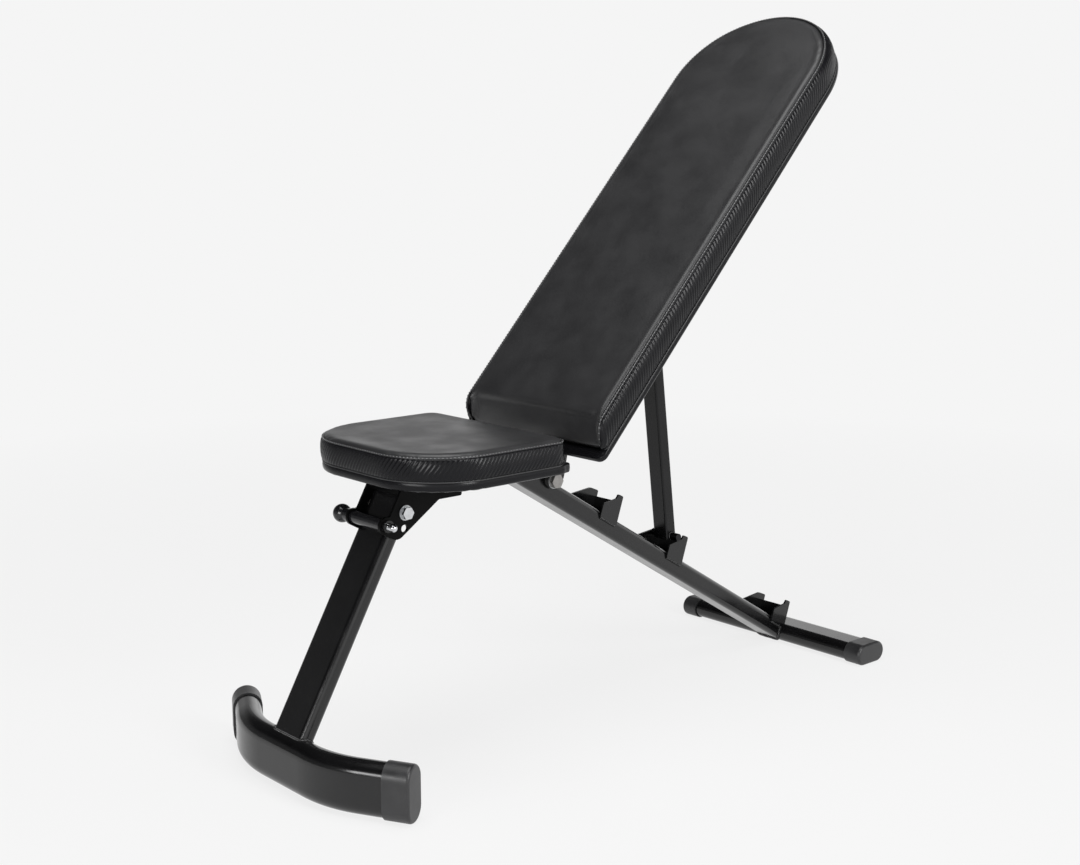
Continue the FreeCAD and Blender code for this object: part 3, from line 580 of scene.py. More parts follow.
@dataclass(frozen=True)
class Swelling:
    """Settings of the cloth simulation that fills a pad, and how much of it is sewn down."""

    pressure: float = 4.0
    quality: int = 5
    mass: float = 0.3
    frames: int = 20
    seam_width: float = 3.5 * MM
    foot_height: float = 3 * MM


@dataclass
class Pad:
    """A cushion on its board: foam body, boxing strip, rim fold, welt, stitches and wrap."""

    name: str
    body: str
    node: str
    place: PadPlace
    half_width: float
    low: float
    seam: float
    board_low: float
    fill: float
    bulge: float
    fold: float
    palette: Palette
    crown: float = 6.0 * MM
    shoulder: float = 10 * MM
    voxel: float = 4.5 * MM
    looseness: float = 0.2
    skin: float = 0.9 * MM
    rib_pitch: float = 5.05 * MM
    rib_lean: float = math.radians(54)
    rib_height: float = 0.58 * MM
    rib_fade: float = 0.12
    boxing_span: tuple = (0.03, 0.96)
    wall_lean: float = 1.3
    wall_round: float = 0.7
    rim_radius: float = 1.3 * MM
    welt_radius: float = 1.2 * MM
    cord_spacing: float = 2.5 * MM
    stitch_pitch: float = 4.9 * MM
    stitch_half: tuple = (0.95 * MM, 0.55 * MM, 0.5 * MM)
    staple_pitch: float = 24 * MM
    staple_half: tuple = (5 * MM, 0.5 * MM, 0.35 * MM)
    swelling: Swelling = Swelling()

    def outline(self, inset: float) -> Array:
        """Closed plan outline in (x, v), counter-clockwise, drawn in by inset."""
        raise NotImplementedError

    def board_outline(self, inset: float) -> Array:
        """Outline of the board, drawn in by inset."""
        return self.outline(inset)

    def lid(self, v: Array) -> Array:
        """Height of the seam line over the board at each v."""
        return np.full_like(v, self.seam)

    def foot_reach(self, v: Array) -> Array:
        """How far the wall's foot stands out from the outline at each v."""
        return np.zeros_like(v)

    def seam_run(self, spacing: float) -> tuple:
        """Plan points of the boxing strip and whether they close."""
        return evenly(self.outline(0.0), spacing, True), True

    def arch(self, share: Array) -> Array:
        """Profile of the wall: sin(pi h^lean)^round at a share h of its height."""
        return np.sin(math.pi * np.clip(share, 0, 1) ** self.wall_lean) ** self.wall_round

    def stand_out(self, v: Array, share: Array) -> Array:
        """How far the wall stands out at each v: the bulge times its arch."""
        return self.bulge * self.arch(share) + 0 * v

    def rounding(self, local: Array, inside: Array) -> Array:
        """Share of the crown over a point: a quarter ellipse from the seam inwards."""
        gone = 1 - np.clip(inside / self.shoulder, 0, 1)
        return np.sqrt(1 - gone ** 2)

    def outward(self, plan: Array, closed: bool) -> Array:
        """Direction out of the pad at each plan point: travel turned by a quarter turn."""
        travel = tangents(plan, closed)
        return np.stack([travel[:, 1], -travel[:, 0]], 1)

    def wall(self, plan: Array, closed: bool, share: Array, lift: Array | float = 0.0) -> Array:
        """Places on the side wall.

        The wall stands out from the outline by stand_out plus lift.

        Args:
            plan: plan points.
            closed: whether they close.
            share: shares of the height, one a row.
            lift: further distance outwards, for each row and point.

        Returns:
            Local points, rows by plan points.
        """
        h = share[:, None]
        out = self.stand_out(plan[None, :, 1], h) + lift
        normal = self.outward(plan, closed)
        x = plan[None, :, 0] + normal[None, :, 0] * out
        v = plan[None, :, 1] + normal[None, :, 1] * out
        n = self.low + h * (self.lid(plan[:, 1]) - self.low)[None]
        return np.stack([x, v, n], -1)

    def start_shape(self) -> Object:
        """Plain slab that the cloth swells from.

        Rings go from the middle of the underside, out to the wall, up to the seam and back to
        the middle: point (t, i) is k(t) * outline i at height n(t), drawn towards the middle.
        """
        plan = evenly(self.outline(0.6 * MM), 6 * MM, True)
        middle = plan.mean(0)
        flat, up = 12, 8
        spread = np.linspace(0.02, 1, flat)
        reach = np.concatenate([spread, np.ones(up), spread[::-1]])
        height = np.concatenate([np.zeros(flat), np.linspace(0.05, 0.95, up), np.ones(flat)])
        rings = middle + reach[:, None, None] * (plan - middle)[None]
        top = self.lid(rings[..., 1])
        n = self.low + height[:, None] * (top - self.low)
        local = np.concatenate([rings, n[..., None]], -1)
        quads = grid_faces(len(reach), len(plan), False, True)
        first = np.arange(len(plan))
        last = first + (len(reach) - 1) * len(plan)
        return surface(self.name + "_foam", local, [quads, first[None, ::-1], last[None]],
                       self.palette["vinyl"])

    def remeshed(self) -> Object:
        """The slab rebuilt from even voxels."""
        slab = self.start_shape()
        remesh = slab.modifiers.new("voxels", "REMESH")
        remesh.mode = "VOXEL"
        remesh.voxel_size = self.voxel
        remesh.use_smooth_shade = True
        graph = bpy.context.evaluated_depsgraph_get()
        mesh = bpy.data.meshes.new_from_object(slab.evaluated_get(graph))
        bpy.data.objects.remove(slab)
        piece = bpy.data.objects.new(self.name + "_foam", mesh)
        bpy.context.scene.collection.objects.link(piece)
        return piece

    def nearest(self, local: Array) -> tuple:
        """Nearest outline point of each local point.

        Args:
            local: local points.

        Returns:
            Nearest plan points, their outward directions, and the distance inside the outline.
        """
        plan = evenly(self.outline(0.0), 2.5 * MM, True)
        normal = self.outward(plan, True)
        pick = np.empty(len(local), int)
        for start in range(0, len(local), 4000):
            gap = local[start:start + 4000, None, :2] - plan[None]
            pick[start:start + 4000] = np.einsum("ijk,ijk->ij", gap, gap).argmin(1)
        inside = np.einsum("ij,ij->i", plan[pick] - local[:, :2], normal[pick])
        return plan[pick], normal[pick], inside

    def swell(self, piece: Object) -> Array:
        """Swell the body between its seams with a cloth simulation.

        Args:
            piece: the remeshed slab, in local places.

        Returns:
            Local places of its points after the swelling.
        """
        rest = read_points(piece.data)
        how = self.swelling
        _, _, inside = self.nearest(rest)
        lid = self.lid(rest[:, 1])
        at_seam = (inside < how.seam_width) & (np.abs(rest[:, 2] - lid) < how.seam_width)
        pinned = at_seam | (rest[:, 2] < self.low + how.foot_height)
        rise = np.zeros_like(rest)
        top = rest[:, 2] > lid - how.foot_height
        rise[:, 2] = top * self.crown * self.rounding(rest, inside)
        group = piece.vertex_groups.new(name="sewn")
        group.add(np.flatnonzero(pinned).tolist(), 1.0, "REPLACE")
        cloth = piece.modifiers.new("swell", "CLOTH")
        cloth.settings.vertex_group_mass = "sewn"
        cloth.settings.use_pressure = True
        cloth.settings.uniform_pressure_force = how.pressure
        cloth.settings.quality = how.quality
        cloth.settings.mass = how.mass
        cloth.settings.effector_weights.gravity = 0.0
        cloth.point_cache.frame_start = 1
        cloth.point_cache.frame_end = how.frames
        for step in range(1, how.frames + 1):
            bpy.context.scene.frame_set(step)
        graph = bpy.context.evaluated_depsgraph_get()
        swollen = read_points(piece.evaluated_get(graph).data)
        piece.modifiers.remove(cloth)
        bpy.context.scene.frame_set(1)
        move = swollen - rest
        length = np.linalg.norm(move, axis=1, keepdims=True)
        move *= np.minimum(1, self.crown / np.maximum(length, 1e-9))
        log.info("%s cloth moved %.2f mm at most", self.name, length.max() / MM)
        free = np.clip((inside - self.shoulder) / (2 * self.shoulder), 0, 1)[:, None]
        return rest + np.where(top[:, None], rise + (move - rise) * free * self.looseness, move)

    def tuck(self, local: Array) -> Array:
        """Draw the wall in under the boxing strip, and keep the underside flat on the board."""
        plan, normal, inside = self.nearest(local)
        lid = self.lid(plan[:, 1])
        share = np.clip((local[:, 2] - self.low) / np.maximum(lid - self.low, 1e-6), 0, 1)
        out = self.stand_out(plan[:, 1], share) - self.skin * 1.6
        too_far = np.maximum(-inside - out, 0) * (share < 0.97)
        local = local.copy()
        local[:, :2] -= normal * too_far[:, None]
        local[:, 2] = np.maximum(local[:, 2], self.low)
        return local

    def foam(self) -> Object:
        """The padded body, swollen, tucked in and placed."""
        piece = self.remeshed()
        local = self.tuck(self.swell(piece))
        write_points(piece.data, self.place.world(local))
        piece.data.materials.clear()
        piece.data.materials.append(self.palette["vinyl"])
        piece.data.shade_smooth()
        smooth = piece.modifiers.new("smooth", "SUBSURF")
        smooth.levels = smooth.render_levels = 1
        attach(piece, self.body)
        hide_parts(self.node)
        log.info("made %s", piece.name)
        return piece

    def boxing(self) -> Object:
        """Ribbed strip sewn round the side wall.

        Its outer face is the wall lifted by rib_height * max(-0.2, cos(2 pi (s sin a - h cos a) /
        pitch)), faded out at both seams, where s runs round the pad, h up the wall, and a is the
        lean of the ribs.
        """
        step = self.rib_pitch / math.sin(self.rib_lean) / 8
        plan, closed = self.seam_run(step)
        travel = np.arange(len(plan)) * step
        share = np.linspace(*self.boxing_span, 20)
        height = share[:, None] * (self.lid(plan[:, 1]) - self.low)[None]
        phase = travel[None] * math.sin(self.rib_lean) - height * math.cos(self.rib_lean)
        rib = np.maximum(np.cos(TURN * phase / self.rib_pitch), -0.2)
        fade = np.clip(np.minimum(share, 1 - share) / self.rib_fade, 0, 1)[:, None]
        outer = self.wall(plan, closed, share, self.rib_height * rib * fade)
        inner = self.wall(plan, closed, share[[-1, 0]], -self.skin * 1.4)
        local = np.concatenate([outer, inner])
        rows = len(local)
        faces = [grid_faces(rows, len(plan), True, closed)]
        if not closed:
            ends = np.arange(rows) * len(plan)
            faces += [ends[None], (ends + len(plan) - 1)[None, ::-1]]
        piece = surface(self.name + "_boxing", self.place.world(local), faces,
                        self.palette["boxing_vinyl"])
        return declare(piece, self.body)

    def cord(self, name: str, line: tuple, radius: float, sides: int) -> Object:
        """Vinyl cord along a line, as it comes from line()."""
        local, out, closed = line
        piece = tube(self.name + name, self.place.world(local), radius, self.place.turn(out),
                     sides, closed, self.palette["vinyl"])
        return declare(piece, self.body)

    def line(self, spacing: float, outset: float, rise: float, at_seam: bool) -> tuple:
        """A line along a seam.

        Args:
            spacing: distance between its points.
            outset: distance outwards from the outline.
            rise: distance over the seam.
            at_seam: the upper seam, or else the one at the board.

        Returns:
            Local points, outward directions, and whether the line closes.
        """
        plan, closed = self.seam_run(spacing)
        normal = self.outward(plan, closed)
        level = self.lid(plan[:, 1]) if at_seam else np.full(len(plan), self.low)
        reach = np.zeros(len(plan)) if at_seam else self.foot_reach(plan[:, 1])
        local = np.column_stack([plan + normal * (outset + reach)[:, None], level + rise])
        return local, np.column_stack([normal, np.zeros(len(plan))]), closed

    def seams(self) -> None:
        """Rim fold and its stitches at the upper seam, and a welt at the board."""
        rim = self.line(self.cord_spacing, 0.0, -0.4 * MM, True)
        self.cord("_rim_fold", rim, self.rim_radius, 10)
        welt = self.line(self.cord_spacing, 0.7 * MM, 0.2 * MM, False)
        self.cord("_board_welt", welt, self.welt_radius, 8)
        local, out, closed = self.line(self.stitch_pitch, 1.2 * MM, 0.65 * MM, True)
        travel = tangents(local, closed)
        over = unit(out + np.array([0, 0, 0.95]))
        over = unit(over - travel * np.einsum("ij,ij->i", over, travel)[:, None])
        # the stitches' thread is painted a lighter grey as a highlight
        stitches = capsules(self.name + "_stitches", self.place.world(local),
                            self.place.turn(travel), self.place.turn(over),
                            *self.stitch_half, self.palette["thread"])
        declare(stitches, self.body)

    def wrap(self) -> Object:
        """Vinyl band round the board's edge, folded under and pleated round the corners.

        Its section is a closed loop of (inset in millimetres, height): over the board, down its
        edge, in under it as far as the fold, and back inside the vinyl. Where the outline turns,
        the fold under it waves by pleat * turn * sin(2 pi s / pleat_pitch).
        """
        middle = self.low - (self.low - self.board_low) * 0.55
        top, under = self.low, self.board_low
        lap, fold, pleat, pleat_pitch = 16.0, self.fold / MM, 0.45 * MM, 9 * MM
        section = [(lap, top + 0.3 * MM), (-0.1, top + 0.3 * MM), (-1.1, top - 1.2 * MM),
                   (-1.5, middle), (-1.1, under + 1.4 * MM), (-0.2, under - 0.1 * MM),
                   (1.6, under - 0.9 * MM), (6.0, under - 1.0 * MM), (fold, under - 0.9 * MM),
                   (fold, under - 0.1 * MM), (0.9, under - 0.1 * MM), (0.9, top - 0.4 * MM),
                   (lap, top - 0.1 * MM)]
        edge, tucked = slice(1, 6), slice(6, 9)
        level = np.ones(len(self.outline(0)))
        rings = [np.column_stack([self.board_outline(inset * MM), level * n])
                 for inset, n in section]
        local = np.stack(rings)
        way = tangents(rings[1][:, :2], True)
        turn = np.linalg.norm(np.roll(way, -1, 0) - way, axis=1)
        travel = along_path(np.vstack([rings[1], rings[1][:1]]))[:-1]
        wave = pleat * np.minimum(turn * 18, 1) * np.sin(TURN * travel / pleat_pitch)
        local[tucked, :, 2] += wave - 0.2 * MM
        outward = self.outward(rings[1][:, :2], True)
        local[edge, :, :2] += outward * self.foot_reach(rings[1][:, 1])[:, None]
        piece = surface(self.name + "_board_wrap", self.place.world(local),
                        [grid_faces(len(section), local.shape[1], True, True)],
                        self.palette["boxing_vinyl"])
        return declare(piece, self.body)

    def staples(self) -> Object:
        """Wire staples across the folded edge, under the board."""
        plan = evenly(self.outline(self.fold - 5 * MM), self.staple_pitch, True)
        travel = tangents(plan, True)
        flat = np.zeros(len(plan))
        local = np.column_stack([plan, flat + self.board_low - 1.4 * MM])
        way = np.column_stack([travel, flat])
        over = np.column_stack([flat, flat, flat - 1])
        piece = capsules(self.name + "_staples", self.place.world(local), self.place.turn(way),
                         self.place.turn(over), *self.staple_half, self.palette["zinc"])
        return declare(piece, self.body)

    def build(self) -> None:
        """Make every piece of the pad."""
        self.foam()
        self.boxing()
        self.seams()
        self.wrap()
        self.staples()


def read_points(mesh: bpy.types.Mesh) -> Array:
    """The places of a mesh's points."""
    flat = np.empty(len(mesh.vertices) * 3, np.float32)
    mesh.vertices.foreach_get("co", flat)
    return flat.reshape(-1, 3).astype(float)


def write_points(mesh: bpy.types.Mesh, points: Array) -> None:
    """Move a mesh's points to new places."""
    mesh.vertices.foreach_set("co", points.astype(np.float32).ravel())
    mesh.update()


@dataclass
class SeatPad(Pad):
    """The seat: well rounded front corners, small rear corners and a sloping rear wall."""

    front: float = 0.0
    rear: float = 0.0
    front_corner: float = 97 * MM
    rear_corner: float = 20 * MM
    board_corner: float = 11 * MM
    wall_lean: float = 1.1
    wall_round: float = 0.4
    rear_bulge: float = 0.8 * MM
    rear_slope: float = 8 * MM
    rear_stretch: float = 25 * MM
    foot_stretch: float = 3 * MM

    def outline(self, inset: float) -> Array:
        """Outline of the foam, drawn in by inset."""
        return self.contour(inset, self.rear_corner)

    def board_outline(self, inset: float) -> Array:
        """Outline of the board, whose rear corners are sharper."""
        return self.contour(inset, self.board_corner)

    def contour(self, inset: float, corner: float) -> Array:
        """Rounded rectangle, drawn in by inset, with the same points for every inset."""
        half, front, rear = self.half_width - inset, self.front + inset, self.rear - inset
        big = max(self.front_corner - inset, 1 * MM)
        small = max(corner - inset, 1 * MM)
        arcs = corner_arcs([((half - big, front + big), big, 26),
                            ((half - small, rear - small), small, 8),
                            ((small - half, rear - small), small, 8),
                            ((big - half, front + big), big, 26)], -QUARTER)
        straight = np.linspace(0, 1, 22)[1:-1, None]
        runs = []
        for this, after in zip(arcs, arcs[1:] + arcs[:1]):
            runs += [this, this[-1] + (after[0] - this[-1]) * straight]
        return np.concatenate(runs)

    def stand_out(self, v: Array, share: Array) -> Array:
        """Bulge of the wall; along the rear it is slight, and the wall slopes out at its foot."""
        ahead = np.clip((self.rear - v) / self.rear_stretch, 0, 1)
        bulge = self.rear_bulge + (self.bulge - self.rear_bulge) * ahead
        return bulge * self.arch(share) + self.foot_reach(v) * (1 - np.clip(share, 0, 1))

    def foot_reach(self, v: Array) -> Array:
        """How far the rear wall's foot stands out behind its seam."""
        return self.rear_slope * np.clip((v - self.rear) / self.foot_stretch + 1, 0, 1)


@dataclass
class BackPad(Pad):
    """The back: straight sides, a top of three arcs, and a front that rolls over its foot."""

    foot: float = 0.0
    top: float = 0.0
    crown_radius: float = 163 * MM
    corner_radius: float = 115 * MM
    foot_corner: float = 10 * MM
    roll: float = 30 * MM
    board_foot: float = 26 * MM

    def outline(self, inset: float) -> Array:
        """Outline of the foam, drawn in by inset."""
        return self.contour(inset, self.foot + inset)

    def board_outline(self, inset: float) -> Array:
        """Outline of the board, whose foot is lower than the foam's."""
        return self.contour(inset, self.board_foot + inset)

    def contour(self, inset: float, foot: float) -> Array:
        """Square foot with small corners, straight sides, and three tangent arcs."""
        half = self.half_width - inset
        corner = self.corner_radius - inset
        crown = self.crown_radius - inset
        offset = half - corner
        crown_centre = self.top - inset - crown
        corner_centre = crown_centre + math.sqrt((crown - corner) ** 2 - offset ** 2)
        join = QUARTER - math.asin(offset / (crown - corner))
        small = max(self.foot_corner - inset, 1 * MM)
        top = [arc_points((offset, corner_centre), corner, 0, join, 24),
               arc_points((0, crown_centre), crown, join, math.pi - join, 30)[1:-1],
               arc_points((-offset, corner_centre), corner, math.pi - join, math.pi, 24)]
        left, right = corner_arcs([((small - half, foot + small), small, 7),
                                   ((half - small, foot + small), small, 7)], math.pi)
        side = np.linspace(0, 1, 60)[1:-1, None]
        end = np.linspace(0, 1, 24)[1:-1, None]
        return np.concatenate([right, right[-1] + (top[0][0] - right[-1]) * side, *top,
                               top[2][-1] + (left[0] - top[2][-1]) * side, left,
                               left[-1] + (right[0] - left[-1]) * end])

    def lid(self, v: Array) -> Array:
        """Seam height: level, then a quarter ellipse down to the board at the foot."""
        past = np.clip((self.foot + self.roll - v) / self.roll, 0, 0.9995)
        return self.low + (self.seam - self.low) * np.sqrt(1 - past ** 2)

    def rounding(self, local: Array, inside: Array) -> Array:
        """Share of the crown over a point; it is round at the sides, and fades over the roll."""
        past = np.clip((self.foot + self.roll - local[:, 1]) / self.roll, 0, 1)
        ahead = self.half_width - np.abs(local[:, 0])
        inside = np.where(local[:, 1] < self.foot + self.roll + self.shoulder, ahead, inside)
        return super().rounding(local, inside) * np.sqrt(1 - past ** 2)

    def seam_run(self, spacing: float) -> tuple:
        """The outline from the foot's right corner, over the top, to its left corner."""
        run = self.outline(0.0)
        return evenly(run[run[:, 1] > self.foot + 0.6 * MM], spacing, False), False


def seat_pad(palette: Palette) -> SeatPad:
    """The seat pad, placed from the box of its board."""
    board_low, board_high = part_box("seat_board")
    return SeatPad(name="seat", body="frame", node="seat_cushion",
                   place=PadPlace(np.zeros(3), 0.0), half_width=143 * MM, low=board_high.z,
                   seam=board_high.z + 30.6 * MM, board_low=board_low.z, fill=0.75,
                   bulge=3.2 * MM, fold=14 * MM, palette=palette, front=board_low.y - 1 * MM,
                   rear=board_high.y + 4 * MM, crown=5 * MM)


def back_pad(palette: Palette, lean: float = math.radians(47.3)) -> BackPad:
    """The back pad, placed from its hinge."""
    return BackPad(name="back", body="backrest", node="back_cushion",
                   place=PadPlace(joint_place("back_recline"), lean), half_width=139 * MM,
                   low=42.8 * MM, seam=80.8 * MM, board_low=34.8 * MM, fill=0.75,
                   bulge=5.0 * MM, fold=18 * MM, palette=palette, foot=40 * MM, top=813 * MM,
                   crown=4.0 * MM, shoulder=5 * MM)


def joint_place(name: str) -> Array:
    """A point on a joint's axis, from the record."""
    joints = {joint["name"]: joint for joint in frame["record"]["behaviour"]["joints"]}
    return np.array(joints[name]["pos_m"])


# ------------------------------------------------------------------ welds
@dataclass(frozen=True)
class TubeSection:
    """Rounded rectangle of a tube: width across the bench, depth and corner radius."""

    width: float
    depth: float
    corner: float

    def loop(self, spacing: float = 1.5 * MM) -> Array:
        """Points (u, w) round the section, a spacing apart."""
        a, b = self.width / 2 - self.corner, self.depth / 2 - self.corner
        corners = [(centre, self.corner, 8) for centre in ((a, b), (-a, b), (-a, -b), (a, -b))]
        return evenly(np.concatenate(corner_arcs(corners, 0.0)), spacing, True)

    def starts(self, middle: Array, over: Array) -> Array:
        """The loop round a point in the row frame, with its depth along over."""
        loop = self.loop()
        return middle + loop[:, :1] * ACROSS + loop[:, 1:] * over


@dataclass(frozen=True)
class Catch:
    """A catch by its place down the spine, and how far its flanges run from there."""

    name: str
    place: float
    end: float = 8 * MM


@dataclass
class Welds:
    """Painted weld beads where the tubes and plates are joined.

    A bead at a foot is found by lines that run in to the foot over its tube's last stretch,
    which is run_in long.
    """

    palette: Palette
    size: float = 2.3 * MM
    ripple: float = 2.1 * MM
    slope: float = math.radians(31.2)
    lean: float = math.radians(29.4)
    leg: TubeSection = TubeSection(66 * MM, 22 * MM, 8.5 * MM)
    spine: TubeSection = TubeSection(50 * MM, 28 * MM, 8 * MM)
    front_foot_round: float = 17.5 * MM
    spine_level: float = 6.4 * MM
    datum: float = 300 * MM
    catches: tuple = (Catch("upright", -136.5 * MM), Catch("incline", 25.8 * MM),
                      Catch("flat", 313.9 * MM, 2 * MM))
    flanges: tuple = (("right", 26 * MM, -26 * MM), ("left", -26 * MM, -60 * MM))
    lap: float = 9.6 * MM
    flange_bead: float = 1.7 * MM
    hinge_bead: float = 1.9 * MM
    hinge_half: float = 23 * MM
    hinge_offset: float = 10.5 * MM
    bar_bead: float = 1.3 * MM
    bar_half: float = 14.4 * MM
    run_in: float = 0.12
    leg_length: float = 0.2
    steps: int = 60

    def bead(self, name: str, path: Array, closed: bool, body: str, size: float) -> Object:
        """Bead of overlapping puddles.

        Its radius is size * (1 + 0.14 sin(2 pi s / ripple) + 0.06 sin(2 pi s / 17 mm)).
        """
        path = evenly(path, self.ripple / 7, closed)
        travel = np.arange(len(path)) * self.ripple / 7
        radius = size * (1 + 0.14 * np.sin(TURN * travel / self.ripple)
                         + 0.06 * np.sin(TURN * travel / (17 * MM)))
        aside = np.array([0.31, 0.55, 0.77])
        piece = tube(name, path, radius, aside, 10, closed, self.palette["frame_paint"])
        return declare(piece, body)

    def landing(self, starts: Array, way: Array, gap: Callable[[Array], Array],
                reach: float) -> Array:
        """Where lines from starts along way meet a skin.

        Each point walks by its own distance from the skin, t := t + gap(start + t * way), until
        it has arrived.

        Args:
            starts: first points, outside the skin.
            way: direction of the lines.
            gap: function that gives each point's distance outside the skin.
            reach: longest walk.

        Returns:
            Points on the skin.
        """
        walked = np.zeros(len(starts))
        for _ in range(self.steps):
            step = np.maximum(gap(starts + walked[:, None] * way), 0)
            walked = np.minimum(walked + step, reach)
        return starts + walked[:, None] * way

    def down_spine(self) -> tuple:
        """Directions down the spine and out of its top face."""
        sine, cosine = math.sin(self.slope), math.cos(self.slope)
        return np.array([0.0, cosine, -sine]), np.array([0.0, sine, cosine])

    def leg_to_foot(self) -> None:
        """Bead round the leg where it lands on the front foot's upper round."""
        low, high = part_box("front_foot_tube")
        radius = self.front_foot_round
        centre_y, centre_z = low.y + radius, high.z - radius
        way = np.array([0.0, -math.sin(self.lean), -math.cos(self.lean)])
        ahead = np.array([0.0, -math.cos(self.lean), math.sin(self.lean)])
        starts = self.leg.starts(joint_place("leg_fold") + way * self.leg_length, ahead)

        def skin(p: Array) -> Array:
            """Distance outside the foot's upper round."""
            return np.hypot(p[:, 1] - centre_y, p[:, 2] - centre_z) - radius

        path = self.landing(starts, way, skin, self.run_in)
        self.bead("weld_leg_foot", path, True, "front_leg", self.size)

    def spine_to_foot(self) -> None:
        """Bead round the spine where it runs into the rear foot."""
        low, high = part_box("rear_foot_tube")
        radius, level = (high.z - low.z) / 2, (high.z + low.z) / 2
        ends = (low.y + radius, high.y - radius)
        way, over = self.down_spine()
        middle = np.array([0.0, (low.y + high.y) / 2, self.spine_level])
        starts = self.spine.starts(middle - way * self.run_in, over)

        def skin(p: Array) -> Array:
            """Distance outside the foot's flat oval, or over the level of its underside."""
            oval = np.hypot(p[:, 1] - np.clip(p[:, 1], *ends), p[:, 2] - level) - radius
            return np.minimum(oval, p[:, 2] - low.z - self.size)

        path = self.landing(starts, way, skin, self.run_in + 40 * MM)
        self.bead("weld_spine_foot", path, True, "frame", self.size)

    def along_catches(self) -> None:
        """Beads along the lower edges of each catch's flanges, a lap under the spine's top.

        The datum lies on the spine's axis, ahead of the rear foot's middle; a flange's edge
        runs parallel to the spine at a height of half its depth less the lap.
        """
        low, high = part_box("rear_foot_tube")
        rise = self.spine.depth / 2 - self.lap
        way, over = self.down_spine()
        level = self.spine_level + self.datum * math.tan(self.slope)
        origin = np.array([0.0, (low.y + high.y) / 2 - self.datum, level]) + rise * over
        for catch in self.catches:
            for label, x, start in self.flanges:
                path = np.array([origin + (catch.place + along) * way + x * ACROSS
                                 for along in (start, catch.end)])
                self.bead(f"weld_catch_{catch.name}_{label}", path, False, "frame",
                          self.flange_bead)

    def along_hinge(self) -> None:
        """Beads along the hinge sleeve, on both sides of it."""
        way, _ = self.down_spine()
        for label, side in (("front", -self.hinge_offset), ("rear", self.hinge_offset)):
            path = np.array([joint_place("back_recline") + way * side + x * ACROSS
                             for x in (-self.hinge_half, self.hinge_half)])
            self.bead("weld_hinge_" + label, path, False, "frame", self.hinge_bead)

    def round_cross_bar(self) -> None:
        """Beads round the cross bar at the strut's two sides."""
        low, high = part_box("strut_cross_bar")
        y, z, radius = (low.y + high.y) / 2, (low.z + high.z) / 2, (high.z - low.z) / 2
        angle = np.linspace(0, TURN, 40, endpoint=False)
        for label, x in (("left", -self.bar_half), ("right", self.bar_half)):
            path = np.column_stack([np.full_like(angle, x), y + radius * np.cos(angle),
                                    z + radius * np.sin(angle)])
            self.bead("weld_cross_bar_" + label, path, True, "strut", self.bar_bead)

    def build(self) -> None:
        """Make every bead."""
        self.leg_to_foot()
        self.spine_to_foot()
        self.along_catches()
        self.along_hinge()
        self.round_cross_bar()


# ------------------------------------------------------------------ bolt threads
@dataclass(frozen=True)
class Bolt:
    """A pivot bolt: the names of its nodes, the body it rides on, its radius and its pitch."""

    name: str
    node: str
    nut: str
    body: str
    radius: float
    pitch: float


@dataclass
class Threads:
    """Helical thread on the bare end of each pivot bolt."""

    palette: Palette
    bolts: tuple = (
        Bolt("leg_pivot", "leg_pivot_bolt", "leg_pivot_nut", "frame", 5 * MM, 1.25 * MM),
        Bolt("back_hinge", "back_hinge_bolt", "back_hinge_nut", "backrest", 6 * MM, 1.25 * MM),
        Bolt("strut", "strut_bolt", "strut_nut", "backrest", 4 * MM, 1.0 * MM))

    def helix(self, bolt: Bolt) -> Object:
        """Ridge round the end of a bolt, past its nut.

        The ridge runs at (x0 - pitch a / 2 pi, radius cos a, radius sin a) for a turn angle a,
        and thins out over the first and last 1.5 radians.
        """
        low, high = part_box(bolt.node)
        nut_low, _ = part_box(bolt.nut)
        y, z = (low.y + high.y) / 2, (low.z + high.z) / 2
        turns = max((nut_low.x - low.x - 0.6 * MM) / bolt.pitch, 1.0)
        angle = np.linspace(0, TURN * turns, int(40 * turns))
        path = np.column_stack([nut_low.x - bolt.pitch * angle / TURN,
                                y + bolt.radius * np.cos(angle), z + bolt.radius * np.sin(angle)])
        size = 0.35 * bolt.pitch * np.clip(np.minimum(angle, angle[::-1]) / 1.5, 0.15, 1)
        piece = tube("thread_" + bolt.name, path, size, ACROSS, 6, False, self.palette["zinc"])
        return declare(piece, bolt.body)

    def build(self) -> None:
        """Make the thread of each pivot bolt."""
        for bolt in self.bolts:
            self.helix(bolt)


@dataclass
class PinTip:
    """Polished nose of the locking pin, with the groove that its spring ball drops into."""

    palette: Palette
    length: float = 9 * MM
    proud: float = 0.25 * MM
    groove_depth: float = 0.8 * MM
    groove_place: float = 0.55
    groove_half: float = 0.12

    def build(self) -> None:
        """Turn the nose about the pin's axis.

        Its profile is (x, r) along the pin: a sleeve that stands proud of it, from 2.2 radii
        short of its end, a groove of depth cos^2 over a stretch of the sleeve, and a dome.
        """
        low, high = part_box("locking_pin")
        y, z, radius = (low.y + high.y) / 2, (low.z + high.z) / 2, (high.z - low.z) / 2
        outer = radius + self.proud
        start = high.x - 2.2 * radius
        travel = np.linspace(0, 1, 30)
        sleeve_x = start + travel * (self.length + 0.8 * radius)
        off = (travel - self.groove_place) / self.groove_half
        groove = np.where(np.abs(off) < 1, np.cos(off * QUARTER), 0)
        turn = np.linspace(0, QUARTER, 12)[1:]
        x = np.concatenate([[start], sleeve_x, sleeve_x[-1] + outer * np.sin(turn)])
        r = np.concatenate([[radius * 0.9], outer - self.groove_depth * groove ** 2,
                            outer * np.cos(turn)])
        path = np.column_stack([x, np.full(len(x), y), np.full(len(x), z)])
        piece = tube("pin_tip", path, np.maximum(r, 0.02 * MM), np.array([0.0, 1.0, 0.0]), 36,
                     False, self.palette["chrome"])
        declare(piece, "locking_pin")


